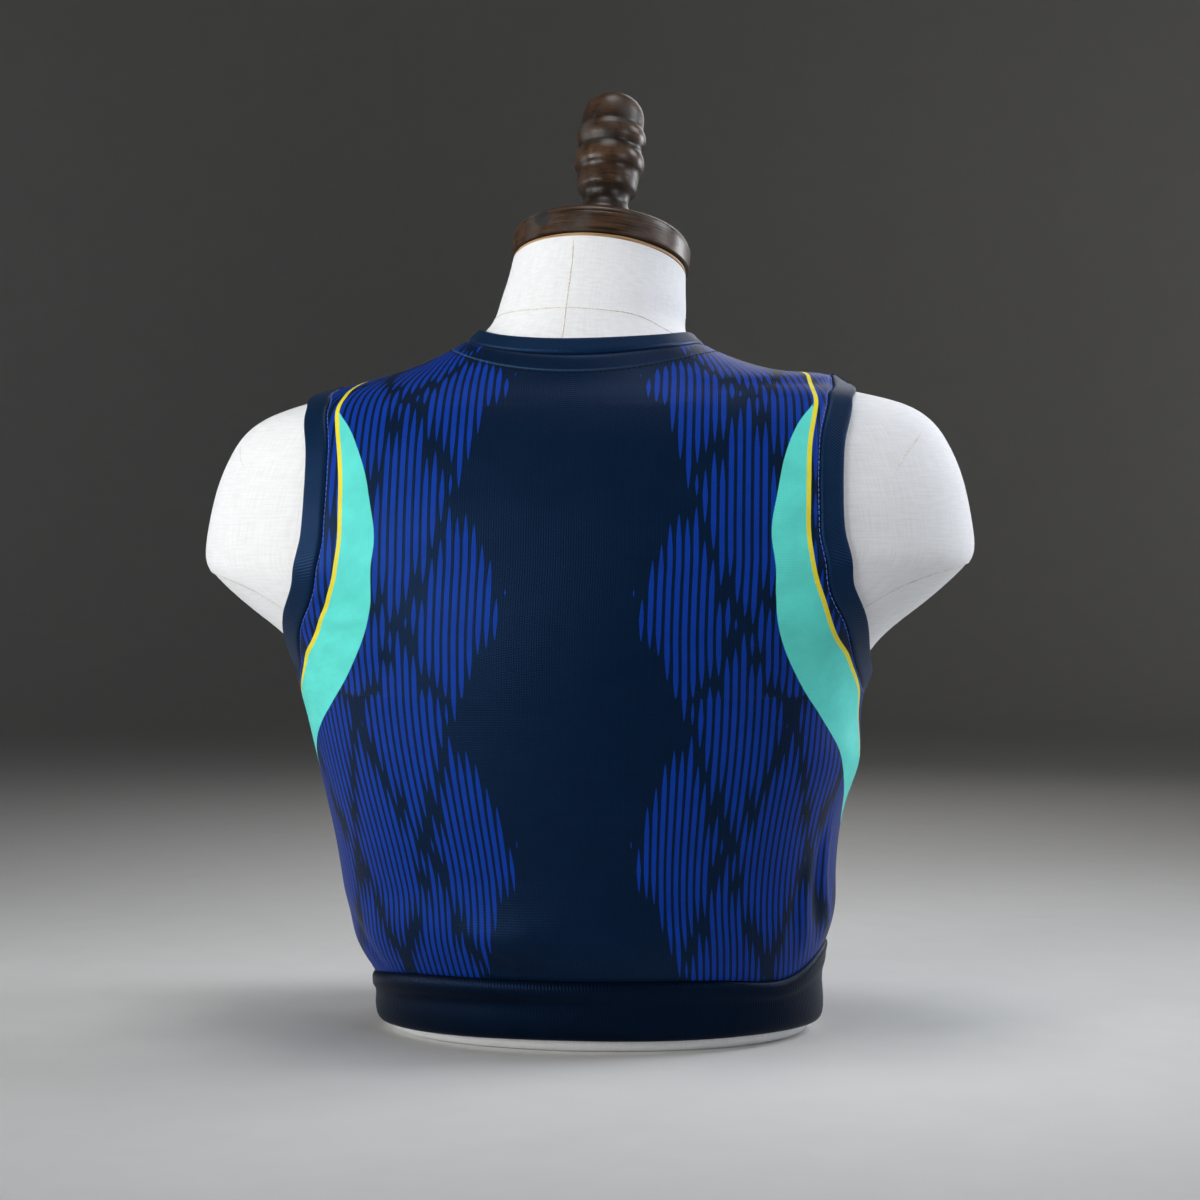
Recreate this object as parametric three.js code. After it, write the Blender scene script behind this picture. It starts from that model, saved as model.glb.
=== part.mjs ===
// Crop tank top worn by a linen tabletop dress form.
// Millimetres, +Z up. The back of the garment faces +Y and the wearer's left is +X.
// The origin is under the middle of the form's flat base.
import * as THREE from "three";

const seamGap = 0.3; // clear space between two cloth pieces that are sewn together
const jerseyThickness = 1.2; // body panels
const bandThickness = 1.9; // doubled bands
const shoulderLift = 0.8; // clear space under the cloth where it bears on the form
const torsoLift = 1.2; // clear space where it only hangs
const hemBottom = 8; // lower edge of the garment above the table
const hemTop = 39.4; // seam between the hem band and the body panels
const armholeBandWidth = 12;
const neckbandWidth = 9.2;
const shoulderSeamTop = 375; // ring height where the neckline crosses the shoulder
const panelColumns = 28;
const formColumns = 40;
const neckPlateThickness = 2.1;
const neckPlateRadius = 48;
const capRadius = 49.8;
const capThickness = 17.6;
const capCrown = 9; // how far the cap's low dome rises above its rim

// The dress form as rings. Each ring is an ellipse whose back and front halves have their own
// depth; back and front are the y of its middle, side the y where the halves meet. backFull and
// frontFull square the halves off a little, lean tips the ring forward in degrees, sway moves it
// sideways, and rise drops it by so many millimetres per 100 towards the wearer's left.
const formRings = [
  { z: 0, half: 115.5, back: 77, front: -83, side: 0, backFull: 0.02, frontFull: 0.02, lean: 0, sway: -6.5, rise: 0 },
  { z: 8, half: 118, back: 80, front: -86, side: 0, backFull: 0.02, frontFull: 0.02, lean: 0, sway: -6.5, rise: 0 },
  { z: 30, half: 120.5, back: 83, front: -91, side: 0, backFull: 0.03, frontFull: 0.03, lean: 0, sway: -5.6, rise: 0 },
  { z: 60, half: 127, back: 88.5, front: -100, side: 0, backFull: 0.03, frontFull: 0.03, lean: 0, sway: -3.5, rise: 0 },
  { z: 108, half: 136, back: 97, front: -116, side: 0, backFull: 0.05, frontFull: 0.03, lean: 0, sway: -1, rise: 0 },
  { z: 160, half: 146, back: 102, front: -126, side: 0, backFull: 0.06, frontFull: 0.03, lean: 0, sway: 1, rise: 0 },
  { z: 190, half: 151.5, back: 104, front: -126, side: 0, backFull: 0.05, frontFull: 0.02, lean: 0, sway: 1.5, rise: 0 },
  { z: 206, half: 156.5, back: 104.5, front: -121, side: 0, backFull: 0.045, frontFull: 0.03, lean: 0, sway: 1.5, rise: 0.2 },
  { z: 219, half: 168, back: 104.5, front: -116, side: 0, backFull: 0.04, frontFull: 0.03, lean: 0, sway: 1.5, rise: 0.5 },
  { z: 233, half: 186, back: 104, front: -110, side: 0, backFull: 0.04, frontFull: 0.04, lean: 0, sway: 1, rise: 0.8 },
  { z: 246, half: 202, back: 102.5, front: -103, side: 0, backFull: 0.06, frontFull: 0.06, lean: 0, sway: 0.5, rise: 1 },
  { z: 256, half: 210.5, back: 101.5, front: -99, side: 0, backFull: 0.075, frontFull: 0.075, lean: 0, sway: 0, rise: 1.1 },
  { z: 268, half: 212, back: 99.5, front: -95, side: 0, backFull: 0.08, frontFull: 0.08, lean: 0, sway: 0, rise: 1.2 },
  { z: 284, half: 209.5, back: 97, front: -90, side: 0, backFull: 0.08, frontFull: 0.08, lean: 0, sway: 0, rise: 1.3 },
  { z: 302, half: 205, back: 92.5, front: -83, side: 0, backFull: 0.07, frontFull: 0.07, lean: 0, sway: 0, rise: 1.4 },
  { z: 320, half: 197, back: 87, front: -77, side: 0, backFull: 0.055, frontFull: 0.055, lean: 0, sway: 0, rise: 1.4 },
  { z: 333, half: 186.5, back: 81, front: -71, side: 0, backFull: 0.045, frontFull: 0.045, lean: 0, sway: 0, rise: 1.4 },
  { z: 342, half: 169, back: 76, front: -67, side: 0, backFull: 0.035, frontFull: 0.035, lean: 0, sway: 0, rise: 1.4 },
  { z: 350, half: 138, back: 71, front: -63, side: 0, backFull: 0.02, frontFull: 0.02, lean: 0, sway: 0, rise: 1.1 },
  { z: 358, half: 106, back: 67, front: -59, side: -1, backFull: 0, frontFull: 0, lean: 0, sway: 0, rise: 0.8 },
  { z: 366, half: 82.5, back: 62, front: -58, side: -2, backFull: 0, frontFull: 0, lean: 2, sway: 0, rise: -0.4 },
  { z: 374, half: 65.5, back: 57, front: -57, side: -3, backFull: 0, frontFull: 0, lean: 4, sway: -0.3, rise: -1.7 },
  { z: 383, half: 54.5, back: 52, front: -56, side: -4, backFull: 0, frontFull: 0, lean: 8, sway: -1.2, rise: -2.3 },
  { z: 394, half: 51.5, back: 46, front: -57, side: -6.5, backFull: 0, frontFull: 0, lean: 12, sway: -3, rise: -3 },
  { z: 406, half: 49.5, back: 40, front: -60, side: -10, backFull: 0, frontFull: 0, lean: 16, sway: -4.8, rise: -5 },
  { z: 418, half: 48, back: 35.5, front: -62, side: -13.5, backFull: 0, frontFull: 0, lean: 17, sway: -6, rise: -6 },
];

// The seam between panel and armhole band, from the underarm up to the shoulder ridge. turn is
// in degrees from the side seam towards the back, or towards the front.
const backArmhole = [
  { turn: 0, height: 187.5 },
  { turn: 8, height: 189.5 },
  { turn: 16, height: 197.5 },
  { turn: 26, height: 211 },
  { turn: 37.5, height: 226.5 },
  { turn: 46, height: 238 },
  { turn: 51.4, height: 250 },
  { turn: 54.1, height: 265 },
  { turn: 54.1, height: 281 },
  { turn: 53.2, height: 298 },
  { turn: 51.7, height: 311.5 },
  { turn: 49.4, height: 324 },
  { turn: 46.1, height: 333 },
  { turn: 41.3, height: 340 },
  { turn: 32.3, height: 345.2 },
  { turn: 17.6, height: 349.2 },
  { turn: 0, height: 351.2 },
];
const frontArmhole = [
  { turn: 0, height: 187.5 },
  { turn: 9, height: 189.5 },
  { turn: 17.5, height: 197.5 },
  { turn: 28, height: 211 },
  { turn: 40, height: 226.5 },
  { turn: 49.5, height: 238 },
  { turn: 56, height: 250 },
  { turn: 59.5, height: 265 },
  { turn: 60, height: 281 },
  { turn: 59, height: 298 },
  { turn: 57.3, height: 311.5 },
  { turn: 54.5, height: 324 },
  { turn: 50.6, height: 333 },
  { turn: 44.8, height: 340 },
  { turn: 34.8, height: 345.4 },
  { turn: 19.1, height: 349.6 },
  { turn: 0, height: 351.2 },
];

// The neckline's shape: what share of its whole drop it has come down by, place by place from
// the shoulder seam (0) to the centre of the panel (0.5).
const backScoop = [
  { across: 0, share: 0 },
  { across: 0.06, share: 0.03 },
  { across: 0.125, share: 0.14 },
  { across: 0.25, share: 0.5 },
  { across: 0.375, share: 0.85 },
  { across: 0.4375, share: 0.962 },
  { across: 0.48, share: 0.996 },
  { across: 0.5, share: 1 },
];
const frontScoop = [
  { across: 0, share: 0 },
  { across: 0.08, share: 0.01 },
  { across: 0.147, share: 0.039 },
  { across: 0.214, share: 0.091 },
  { across: 0.276, share: 0.169 },
  { across: 0.342, share: 0.3 },
  { across: 0.384, share: 0.455 },
  { across: 0.404, share: 0.62 },
  { across: 0.419, share: 0.78 },
  { across: 0.4405, share: 0.92 },
  { across: 0.469, share: 0.99 },
  { across: 0.5, share: 1 },
];
const backCut = { facing: 1, armhole: backArmhole, neckDrop: 10.6, dropFrom: 280, scoop: backScoop };
const frontCut = { facing: -1, armhole: frontArmhole, neckDrop: 73.6, dropFrom: 90, scoop: frontScoop };

// A natural cubic curve through the points (xs, ys).
function naturalSpline(xs, ys) {
  const last = xs.length - 1;
  const bend = new Array(last + 1).fill(0);
  const upper = new Array(last + 1).fill(0);
  const right = new Array(last + 1).fill(0);
  for (let i = 1; i < last; i++) {
    const before = xs[i] - xs[i - 1];
    const after = xs[i + 1] - xs[i];
    const slopeChange = (ys[i + 1] - ys[i]) / after - (ys[i] - ys[i - 1]) / before;
    const pivot = 2 * (before + after) - before * upper[i - 1];
    upper[i] = after / pivot;
    right[i] = (6 * slopeChange - before * right[i - 1]) / pivot;
  }
  for (let i = last - 1; i > 0; i--) {
    bend[i] = right[i] - upper[i] * bend[i + 1];
  }
  return (x) => {
    let i = 0;
    while (i < last - 1 && x > xs[i + 1]) {
      i++;
    }
    const width = xs[i + 1] - xs[i];
    const a = (xs[i + 1] - x) / width;
    const b = (x - xs[i]) / width;
    const curve = ((a ** 3 - a) * bend[i] + (b ** 3 - b) * bend[i + 1]) * width * width / 6;
    return a * ys[i] + b * ys[i + 1] + curve;
  };
}

for (const cut of [backCut, frontCut]) {
  cut.scoopShare = naturalSpline(cut.scoop.map((row) => row.across), cut.scoop.map((row) => row.share));
}

const ringHeights = formRings.map((ring) => ring.z);
const ringColumn = {};
for (const column of ["half", "back", "front", "side", "backFull", "frontFull", "lean", "sway", "rise"]) {
  ringColumn[column] = naturalSpline(ringHeights, formRings.map((ring) => ring[column]));
}

// A point of the form's skin. turn is in radians: 0 on the wearer's left, a quarter turn at the
// centre back, a half turn on the right, three quarters at the centre front.
function formPoint(height, turn) {
  const across = Math.cos(turn);
  const deep = Math.sin(turn);
  const isBack = deep > 0;
  const side = ringColumn.side(height);
  const full = isBack ? ringColumn.backFull(height) : ringColumn.frontFull(height);
  const depth = isBack ? ringColumn.back(height) - side : side - ringColumn.front(height);
  const lean = THREE.MathUtils.degToRad(ringColumn.lean(height));
  const x = ringColumn.half(height) * across * (1 + full * deep * deep);
  const y = depth * deep * (1 + full * across * across);
  const rise = ringColumn.rise(height) * x / 100;
  return new THREE.Vector3(
    x + ringColumn.sway(height),
    side + y * Math.cos(lean),
    height + y * Math.sin(lean) - rise,
  );
}

// How fast the skin moves with turn and with height.
function formSlopes(height, turn) {
  const turnStep = 0.001;
  const heightStep = 0.05;
  const alongTurn = formPoint(height, turn + turnStep).sub(formPoint(height, turn - turnStep));
  const alongHeight = formPoint(height + heightStep, turn).sub(formPoint(height - heightStep, turn));
  return {
    alongTurn: alongTurn.divideScalar(2 * turnStep),
    alongHeight: alongHeight.divideScalar(2 * heightStep),
  };
}

function formNormal(height, turn) {
  const { alongTurn, alongHeight } = formSlopes(height, turn);
  return alongTurn.cross(alongHeight).normalize();
}

function liftedPoint(height, turn, lift) {
  return formPoint(height, turn).addScaledVector(formNormal(height, turn), lift);
}

// A rounded bump of one unit.
function bump(value, middle, width) {
  return Math.exp(-(((value - middle) / width) ** 2));
}

// Clear space under the cloth: close on the shoulders, more where it hangs. It stands off under
// the arms, spans the hollow above the bust and the ends of the shoulder seams, hangs clear at
// the waist, and blouses a little over the hem band.
function clothLift(height, turn) {
  const hang = 1 - THREE.MathUtils.smoothstep(height, 185, 330);
  const left = Math.max(0, Math.cos(turn));
  const right = Math.max(0, -Math.cos(turn));
  const underarm = 3 * bump(height, 208, 24) * (left + right);
  const hollow = Math.sin(turn) < 0 ? 1.5 * bump(height, 332, 24) : 0;
  const blouse = bump(height, 62, 30) * (1 + 0.9 * (left + right) ** 2);
  const rightWidth = height < 351 ? 1.7 : 5;
  const shoulder = 1.4 * bump(height, 354, 9) * left ** 4 + 4.2 * bump(height, 351, rightWidth) * right ** 4;
  const above = THREE.MathUtils.smoothstep(height, 182, 205);
  const leftWaist = 2.4 * left ** 6 * THREE.MathUtils.smoothstep(height, 55, 80) * (1 - above);
  const rightWaist = 5 * right ** 6 * bump(height, 150, 20);
  return shoulderLift + (torsoLift - shoulderLift) * hang
    + underarm + hollow + blouse + shoulder + leftWaist + rightWaist;
}

// The seam above the hem band dips on the wearer's left, and on the right it sags and then climbs.
function hemTilt(turn) {
  const fromLeft = THREE.MathUtils.radToDeg(Math.acos(Math.cos(turn)));
  return 11.5 * bump(fromLeft, 180, 20) - 4.5 * bump(fromLeft, 147, 17) - 9 * bump(fromLeft, 0, 33);
}

// Joins vertices and faces into a geometry that faces out.
function closedGeometry(points, faces) {
  const a = new THREE.Vector3();
  let volume = 0;
  for (const [i, j, k] of faces) {
    volume += a.copy(points[i]).dot(points[j].clone().cross(points[k]));
  }
  const index = faces.flatMap(([i, j, k]) => (volume > 0 ? [i, j, k] : [i, k, j]));
  const geometry = new THREE.BufferGeometry().setFromPoints(points);
  geometry.setIndex(index);
  geometry.computeVertexNormals();
  return geometry;
}

// A sheet of cloth: a grid of points on its inner face and one on its outer face, with a narrow
// wall all round its edge.
function sheetGeometry(inner, outer) {
  const rows = inner.length;
  const columns = inner[0].length;
  const points = [...inner.flat(), ...outer.flat()];
  const far = rows * columns;
  const at = (row, column) => row * columns + column;
  const faces = [];
  for (let i = 0; i < rows - 1; i++) {
    for (let j = 0; j < columns - 1; j++) {
      const [a, b, c, d] = [at(i, j), at(i, j + 1), at(i + 1, j + 1), at(i + 1, j)];
      const isForward = points[a].distanceTo(points[c]) < points[b].distanceTo(points[d]);
      const cell = isForward ? [[a, b, c], [a, c, d]] : [[a, b, d], [b, c, d]];
      faces.push(...cell);
      faces.push(...cell.map(([i1, i2, i3]) => [i1 + far, i3 + far, i2 + far]));
    }
  }
  const edge = [];
  for (let j = 0; j < columns - 1; j++) {
    edge.push(at(0, j));
  }
  for (let i = 0; i < rows - 1; i++) {
    edge.push(at(i, columns - 1));
  }
  for (let j = columns - 1; j > 0; j--) {
    edge.push(at(rows - 1, j));
  }
  for (let i = rows - 1; i > 0; i--) {
    edge.push(at(i, 0));
  }
  edge.forEach((here, n) => {
    const next = edge[(n + 1) % edge.length];
    faces.push([here, here + far, next + far], [here, next + far, next]);
  });
  return closedGeometry(points, faces);
}

// A closed band: a loop of closed cross-sections.
function loopGeometry(sections) {
  const around = sections.length;
  const corners = sections[0].length;
  const points = sections.flat();
  const faces = [];
  for (let i = 0; i < around; i++) {
    for (let j = 0; j < corners; j++) {
      const a = i * corners + j;
      const b = i * corners + (j + 1) % corners;
      const c = ((i + 1) % around) * corners + (j + 1) % corners;
      const d = ((i + 1) % around) * corners + j;
      faces.push([a, b, c], [a, c, d]);
    }
  }
  return closedGeometry(points, faces);
}

// A body built of stacked rings with a flat face at each end.
function stackGeometry(rings) {
  const columns = rings[0].length;
  const points = rings.flat();
  const faces = [];
  for (let i = 0; i < rings.length - 1; i++) {
    for (let j = 0; j < columns; j++) {
      const a = i * columns + j;
      const b = i * columns + (j + 1) % columns;
      faces.push([a, b, b + columns], [a, b + columns, a + columns]);
    }
  }
  const last = (rings.length - 1) * columns;
  const middle = (ring) => ring.reduce((sum, p) => sum.add(p), new THREE.Vector3()).divideScalar(columns);
  const bottom = points.push(middle(rings[0])) - 1;
  const top = points.push(middle(rings[rings.length - 1])) - 1;
  for (let j = 0; j < columns; j++) {
    const next = (j + 1) % columns;
    faces.push([bottom, next, j], [top, last + j, last + next]);
  }
  return closedGeometry(points, faces);
}

// Heights from a start to an end in even steps.
function evenly(start, end, steps) {
  return Array.from({ length: steps + 1 }, (_, i) => start + (end - start) * i / steps);
}

// ---- body panels

// The edge of a panel, row by row: up the side seam, round the armhole, then up the shoulder.
function panelEdge(armhole) {
  const sideRows = evenly(hemTop + 0.4, armhole[0].height, 8).slice(0, -1);
  const shoulderRows = evenly(armhole[armhole.length - 1].height, shoulderSeamTop, 6).slice(1);
  return [
    ...sideRows.map((height) => ({ turn: 0, height })),
    ...armhole,
    ...shoulderRows.map((height) => ({ turn: 0, height })),
  ];
}


// How far a row of a panel has come down at one place across the form: nothing low on the panel,
// the whole of the neckline's scoop at its top.
function scoopDrop(cut, level, across) {
  const share = cut.scoopShare(Math.min(across, 1 - across));
  return cut.neckDrop * neckShare(level, cut.dropFrom) * share;
}

// The height of a row at one place across the form. The rows that end near the top of the armhole
// are spread apart towards the middle, where they would otherwise crowd together.
function rowHeight(cut, start, across) {
  const below = Math.max(0, cut.armhole[cut.armhole.length - 1].height - start);
  const inward = THREE.MathUtils.smoothstep(Math.min(across, 1 - across), 0.08, 0.26);
  const level = start - 1.7 * below * Math.exp(-below / 6) * inward;
  return level - scoopDrop(cut, level, across);
}

// Where one column of a panel's row lies on the form. cut.facing is 1 at the back, -1 in front.
function rowPlace(cut, edge, column) {
  const margin = THREE.MathUtils.degToRad(edge.turn) + seamGap / 2 / 62;
  const turn = margin + (Math.PI - 2 * margin) * column;
  let start = edge.height; // found so that the row meets the panel's edge at the edge's height
  for (let n = 0; n < 30; n++) {
    start += 0.5 * (edge.height - rowHeight(cut, start, margin / Math.PI));
  }
  const height = rowHeight(cut, start, turn / Math.PI);
  const tilt = hemTilt(turn) * (1 - THREE.MathUtils.smoothstep(height, hemTop, 125));
  return { turn: cut.facing * turn, height: height + tilt };
}

// Where a panel's columns run, from 0 at one edge to 1 at the other: evenly spaced, but closer
// together where the neckline is steep.
function columnPlaces(cut) {
  const top = { turn: 0, height: shoulderSeamTop };
  const fine = evenly(0, 1, 240);
  const points = fine.map((column) => rowPlace(cut, top, column)).map((at) => formPoint(at.height, at.turn));
  const run = [0];
  for (let i = 1; i < points.length; i++) {
    run.push(run[i - 1] + points[i].distanceTo(points[i - 1]));
  }
  const measure = fine.map((column, i) => 0.68 * column + 0.32 * run[i] / run[run.length - 1]);
  return evenly(0, 1, panelColumns).map((wanted) => {
    const after = Math.max(1, measure.findIndex((value) => value >= wanted - 1e-9));
    const share = (wanted - measure[after - 1]) / (measure[after] - measure[after - 1]);
    return fine[after - 1] + share * (fine[after] - fine[after - 1]);
  });
}

function panelGeometry(cut) {
  const inner = [];
  const outer = [];
  const columns = columnPlaces(cut);
  for (const edge of panelEdge(cut.armhole)) {
    const places = columns.map((column) => rowPlace(cut, edge, column));
    inner.push(places.map(({ height, turn }) => liftedPoint(height, turn, clothLift(height, turn))));
    outer.push(places.map(({ height, turn }) =>
      liftedPoint(height, turn, clothLift(height, turn) + jerseyThickness)));
  }
  return sheetGeometry(inner, outer);
}

// How much of the neckline's drop a row takes: none low down, all of it at the top row.
function neckShare(height, dropFrom) {
  const share = Math.max(0, (height - dropFrom) / (shoulderSeamTop - dropFrom));
  return share * share * (3 - 2 * share) * 0.5 + share * 0.5;
}

// ---- bands

// Steps off a line that runs over the form, square to it and along the skin.
function stepAlongSkin(line, distance) {
  const points = line.map(({ height, turn }) => formPoint(height, turn));
  const count = line.length;
  return line.map(({ height, turn }, i) => {
    const along = points[(i + 1) % count].clone().sub(points[(i + count - 1) % count]).normalize();
    const heading = formNormal(height, turn).cross(along);
    const steps = 6;
    let nowHeight = height;
    let nowTurn = turn;
    for (let n = 0; n < steps; n++) {
      const { alongTurn, alongHeight } = formSlopes(nowHeight, nowTurn);
      const normal = alongTurn.clone().cross(alongHeight).normalize();
      const step = heading.clone().addScaledVector(normal, -heading.dot(normal));
      step.setLength(distance / steps);
      const tt = alongTurn.dot(alongTurn);
      const hh = alongHeight.dot(alongHeight);
      const th = alongTurn.dot(alongHeight);
      const stepTurn = step.dot(alongTurn);
      const stepHeight = step.dot(alongHeight);
      const scale = tt * hh - th * th;
      nowTurn += (stepTurn * hh - stepHeight * th) / scale;
      nowHeight += (stepHeight * tt - stepTurn * th) / scale;
    }
    return { height: nowHeight, turn: nowTurn };
  });
}

// A sewn band beside a seam. stations give how far across the band, how thick, and how far it
// stands off the form beyond the panel's own lift.
function bandGeometry(seam, direction, stations) {
  const lines = stations.map((station) => stepAlongSkin(seam, direction * station.across));
  const sections = seam.map((_, i) => {
    const innerSide = [];
    const outerSide = [];
    stations.forEach((station, n) => {
      const { height, turn } = lines[n][i];
      const lift = clothLift(height, turn) + station.stand;
      innerSide.push(liftedPoint(height, turn, lift));
      outerSide.push(liftedPoint(height, turn, lift + station.thick));
    });
    return [...innerSide, ...outerSide.reverse()];
  });
  return loopGeometry(sections);
}

// The armhole seam as one closed line, up the back and down the front.
function armholeLoop(isLeft) {
  const up = backArmhole.slice(0, -1).map(({ turn, height }) => ({ turn, height }));
  const down = frontArmhole.slice(1).reverse().map(({ turn, height }) => ({ turn: -turn, height }));
  return [...up, ...down].map(({ turn, height }) => ({
    turn: THREE.MathUtils.degToRad(isLeft ? turn : 180 - turn),
    height,
  }));
}

function armholeBand(isLeft) {
  const stations = [
    { across: seamGap, thick: 1.3, stand: 0 },
    { across: 0.2 * armholeBandWidth, thick: bandThickness, stand: 0 },
    { across: 0.8 * armholeBandWidth, thick: bandThickness, stand: 0.1 },
    { across: armholeBandWidth, thick: 1.2, stand: 0.4 },
  ];
  return bandGeometry(armholeLoop(isLeft), isLeft ? 1 : -1, stations);
}

// The neckline seam, right round the neck: the top row of the back panel, then of the front.
function necklineLoop() {
  const top = { turn: 0, height: shoulderSeamTop };
  const between = (cut) => columnPlaces(cut).slice(1, -1).map((column) => rowPlace(cut, top, column));
  const back = between(backCut);
  const front = between(frontCut).reverse();
  const turnedOn = front.map(({ turn, height }) => ({ turn: turn + 2 * Math.PI, height }));
  return [top, ...back, { turn: Math.PI, height: shoulderSeamTop }, ...turnedOn];
}

function neckband() {
  const stations = [
    { across: seamGap, thick: 1.3, stand: 0 },
    { across: 0.2 * neckbandWidth, thick: bandThickness, stand: 0 },
    { across: 0.75 * neckbandWidth, thick: bandThickness, stand: 0.2 },
    { across: neckbandWidth, thick: 1.2, stand: 0.8 },
  ];
  return bandGeometry(necklineLoop(), 1, stations);
}

// The deep doubled hem band: a soft roll under the seam, flat below, turned in at the fold.
function hemBand() {
  const stations = [
    { height: hemTop, thick: 1.3, stand: 0 },
    { height: hemTop - 3, thick: 2.6, stand: 0 },
    { height: hemTop - 9, thick: 3, stand: 0 },
    { height: hemTop - 17, thick: 2.2, stand: 0.1 },
    { height: hemBottom + 4, thick: 2.2, stand: 0.3 },
    { height: hemBottom, thick: 1.2, stand: 0.6 },
  ];
  const around = 40;
  const sections = Array.from({ length: around }, (_, i) => {
    const turn = 2 * Math.PI * i / around;
    const seam = hemTop + hemTilt(turn);
    const base = clothLift(seam, turn);
    const place = (height) => {
      const share = THREE.MathUtils.smoothstep(height, hemBottom + 4, hemTop);
      return height + share * (seam - hemTop) - 2.5 * (1 - share) * Math.max(0, Math.cos(turn)) ** 2;
    };
    const innerSide = stations.map(({ height, stand }) => liftedPoint(place(height), turn, base + stand));
    const outerSide = stations.map(({ height, stand, thick }) =>
      liftedPoint(place(height), turn, base + stand + thick));
    return [...innerSide, ...outerSide.reverse()];
  });
  return loopGeometry(sections);
}

// ---- the dress form

function formBody() {
  const heights = [
    ...evenly(8, 180, 9),
    ...evenly(190, 268, 12),
    ...evenly(278, 328, 5),
    ...evenly(334, 394, 12),
    ...evenly(400, 418, 3),
  ];
  const ringAt = (height, inset) =>
    Array.from({ length: formColumns }, (_, i) => {
      const turn = 2 * Math.PI * i / formColumns;
      return liftedPoint(height, turn, -inset);
    });
  const flat = (ring, z) => ring.map((p) => new THREE.Vector3(p.x, p.y, z));
  return stackGeometry([
    flat(ringAt(0, 4), 0),
    flat(ringAt(1, 1.4), 1),
    flat(ringAt(3.5, 0.2), 3.5),
    ...heights.map((height) => ringAt(height, 0)),
  ]);
}

// The plane of the neck's top: its middle, and the way it faces.
const neckTopHeight = formRings[formRings.length - 1].z;
const neckTop = formPoint(neckTopHeight, 0).add(formPoint(neckTopHeight, Math.PI)).multiplyScalar(0.5);
const neckAlong = formPoint(neckTopHeight, 0).sub(formPoint(neckTopHeight, Math.PI)).normalize();
const neckBackward = formPoint(neckTopHeight, Math.PI / 2).sub(formPoint(neckTopHeight, 1.5 * Math.PI));
const neckAxis = neckAlong.clone().cross(neckBackward).normalize();

// A turned piece on the neck's axis, from a profile of radius and height above the neck's top.
function turned(profile, segments) {
  const side = neckAlong.clone();
  const back = neckAxis.clone().cross(side);
  const rings = profile.map(({ radius, above }) =>
    Array.from({ length: segments }, (_, i) => {
      const angle = 2 * Math.PI * i / segments;
      return neckTop.clone()
        .addScaledVector(side, radius * Math.cos(angle))
        .addScaledVector(back, radius * Math.sin(angle))
        .addScaledVector(neckAxis, above);
    }),
  );
  return stackGeometry(rings);
}

const plateBottom = seamGap;
const capBottom = plateBottom + neckPlateThickness + seamGap;
const finialBottom = capBottom + capThickness + capCrown + seamGap;

function neckPlate() {
  return turned([
    { radius: neckPlateRadius, above: plateBottom },
    { radius: neckPlateRadius, above: plateBottom + neckPlateThickness },
  ], 40);
}

// The stained cap: a square lower edge, a fine step, a rounded top edge and a low dome.
function neckCap() {
  return turned([
    { radius: capRadius - 0.8, above: capBottom },
    { radius: capRadius, above: capBottom + 0.9 },
    { radius: capRadius, above: capBottom + 11.6 },
    { radius: capRadius - 0.9, above: capBottom + 12.2 },
    { radius: capRadius - 1.2, above: capBottom + 13.6 },
    { radius: capRadius - 3.2, above: capBottom + 15.9 },
    { radius: capRadius - 7.5, above: capBottom + capThickness },
    { radius: capRadius - 13, above: capBottom + capThickness + 2.4 },
    { radius: capRadius - 21, above: capBottom + capThickness + 5.6 },
    { radius: capRadius - 32.5, above: capBottom + capThickness + capCrown },
  ], 36);
}

// The turned finial: a foot, a cove, a barrel, two beads with a groove between them, a dome.
function finial() {
  return turned([
    { radius: 15, above: finialBottom },
    { radius: 16.4, above: finialBottom + 1.4 },
    { radius: 16.4, above: finialBottom + 3.4 },
    { radius: 14.4, above: finialBottom + 6.4 },
    { radius: 12.6, above: finialBottom + 10.8 },
    { radius: 13.4, above: finialBottom + 15.2 },
    { radius: 16.1, above: finialBottom + 17.8 },
    { radius: 17, above: finialBottom + 22 },
    { radius: 17.2, above: finialBottom + 28.4 },
    { radius: 18.9, above: finialBottom + 31.2 },
    { radius: 19.8, above: finialBottom + 35.4 },
    { radius: 19.2, above: finialBottom + 39.4 },
    { radius: 17.6, above: finialBottom + 42.2 },
    { radius: 17.6, above: finialBottom + 44.2 },
    { radius: 19.1, above: finialBottom + 46.6 },
    { radius: 19.5, above: finialBottom + 50.4 },
    { radius: 18.6, above: finialBottom + 54 },
    { radius: 17.4, above: finialBottom + 56.6 },
    { radius: 17.5, above: finialBottom + 63.2 },
    { radius: 15.6, above: finialBottom + 69 },
    { radius: 11.6, above: finialBottom + 73.5 },
    { radius: 6, above: finialBottom + 76.2 },
    { radius: 2.5, above: finialBottom + 77 },
  ], 28);
}

// ---- the assembly

const jerseyPrinted = { color: 0x15336f, roughness: 0.72, metalness: 0 };
const jerseyNavy = { color: 0x17263c, roughness: 0.78, metalness: 0 };
const linen = { color: 0xd9d8d4, roughness: 0.9, metalness: 0 };
const paleWood = { color: 0xb99a74, roughness: 0.7, metalness: 0 };
const stainedWood = { color: 0x4a3f38, roughness: 0.35, metalness: 0 };

const object = new THREE.Group();
object.name = "crop_tank_top_on_form";

function addPiece(name, geometry, finish) {
  const mesh = new THREE.Mesh(geometry, new THREE.MeshStandardMaterial(finish));
  mesh.name = name;
  object.add(mesh);
}

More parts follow.
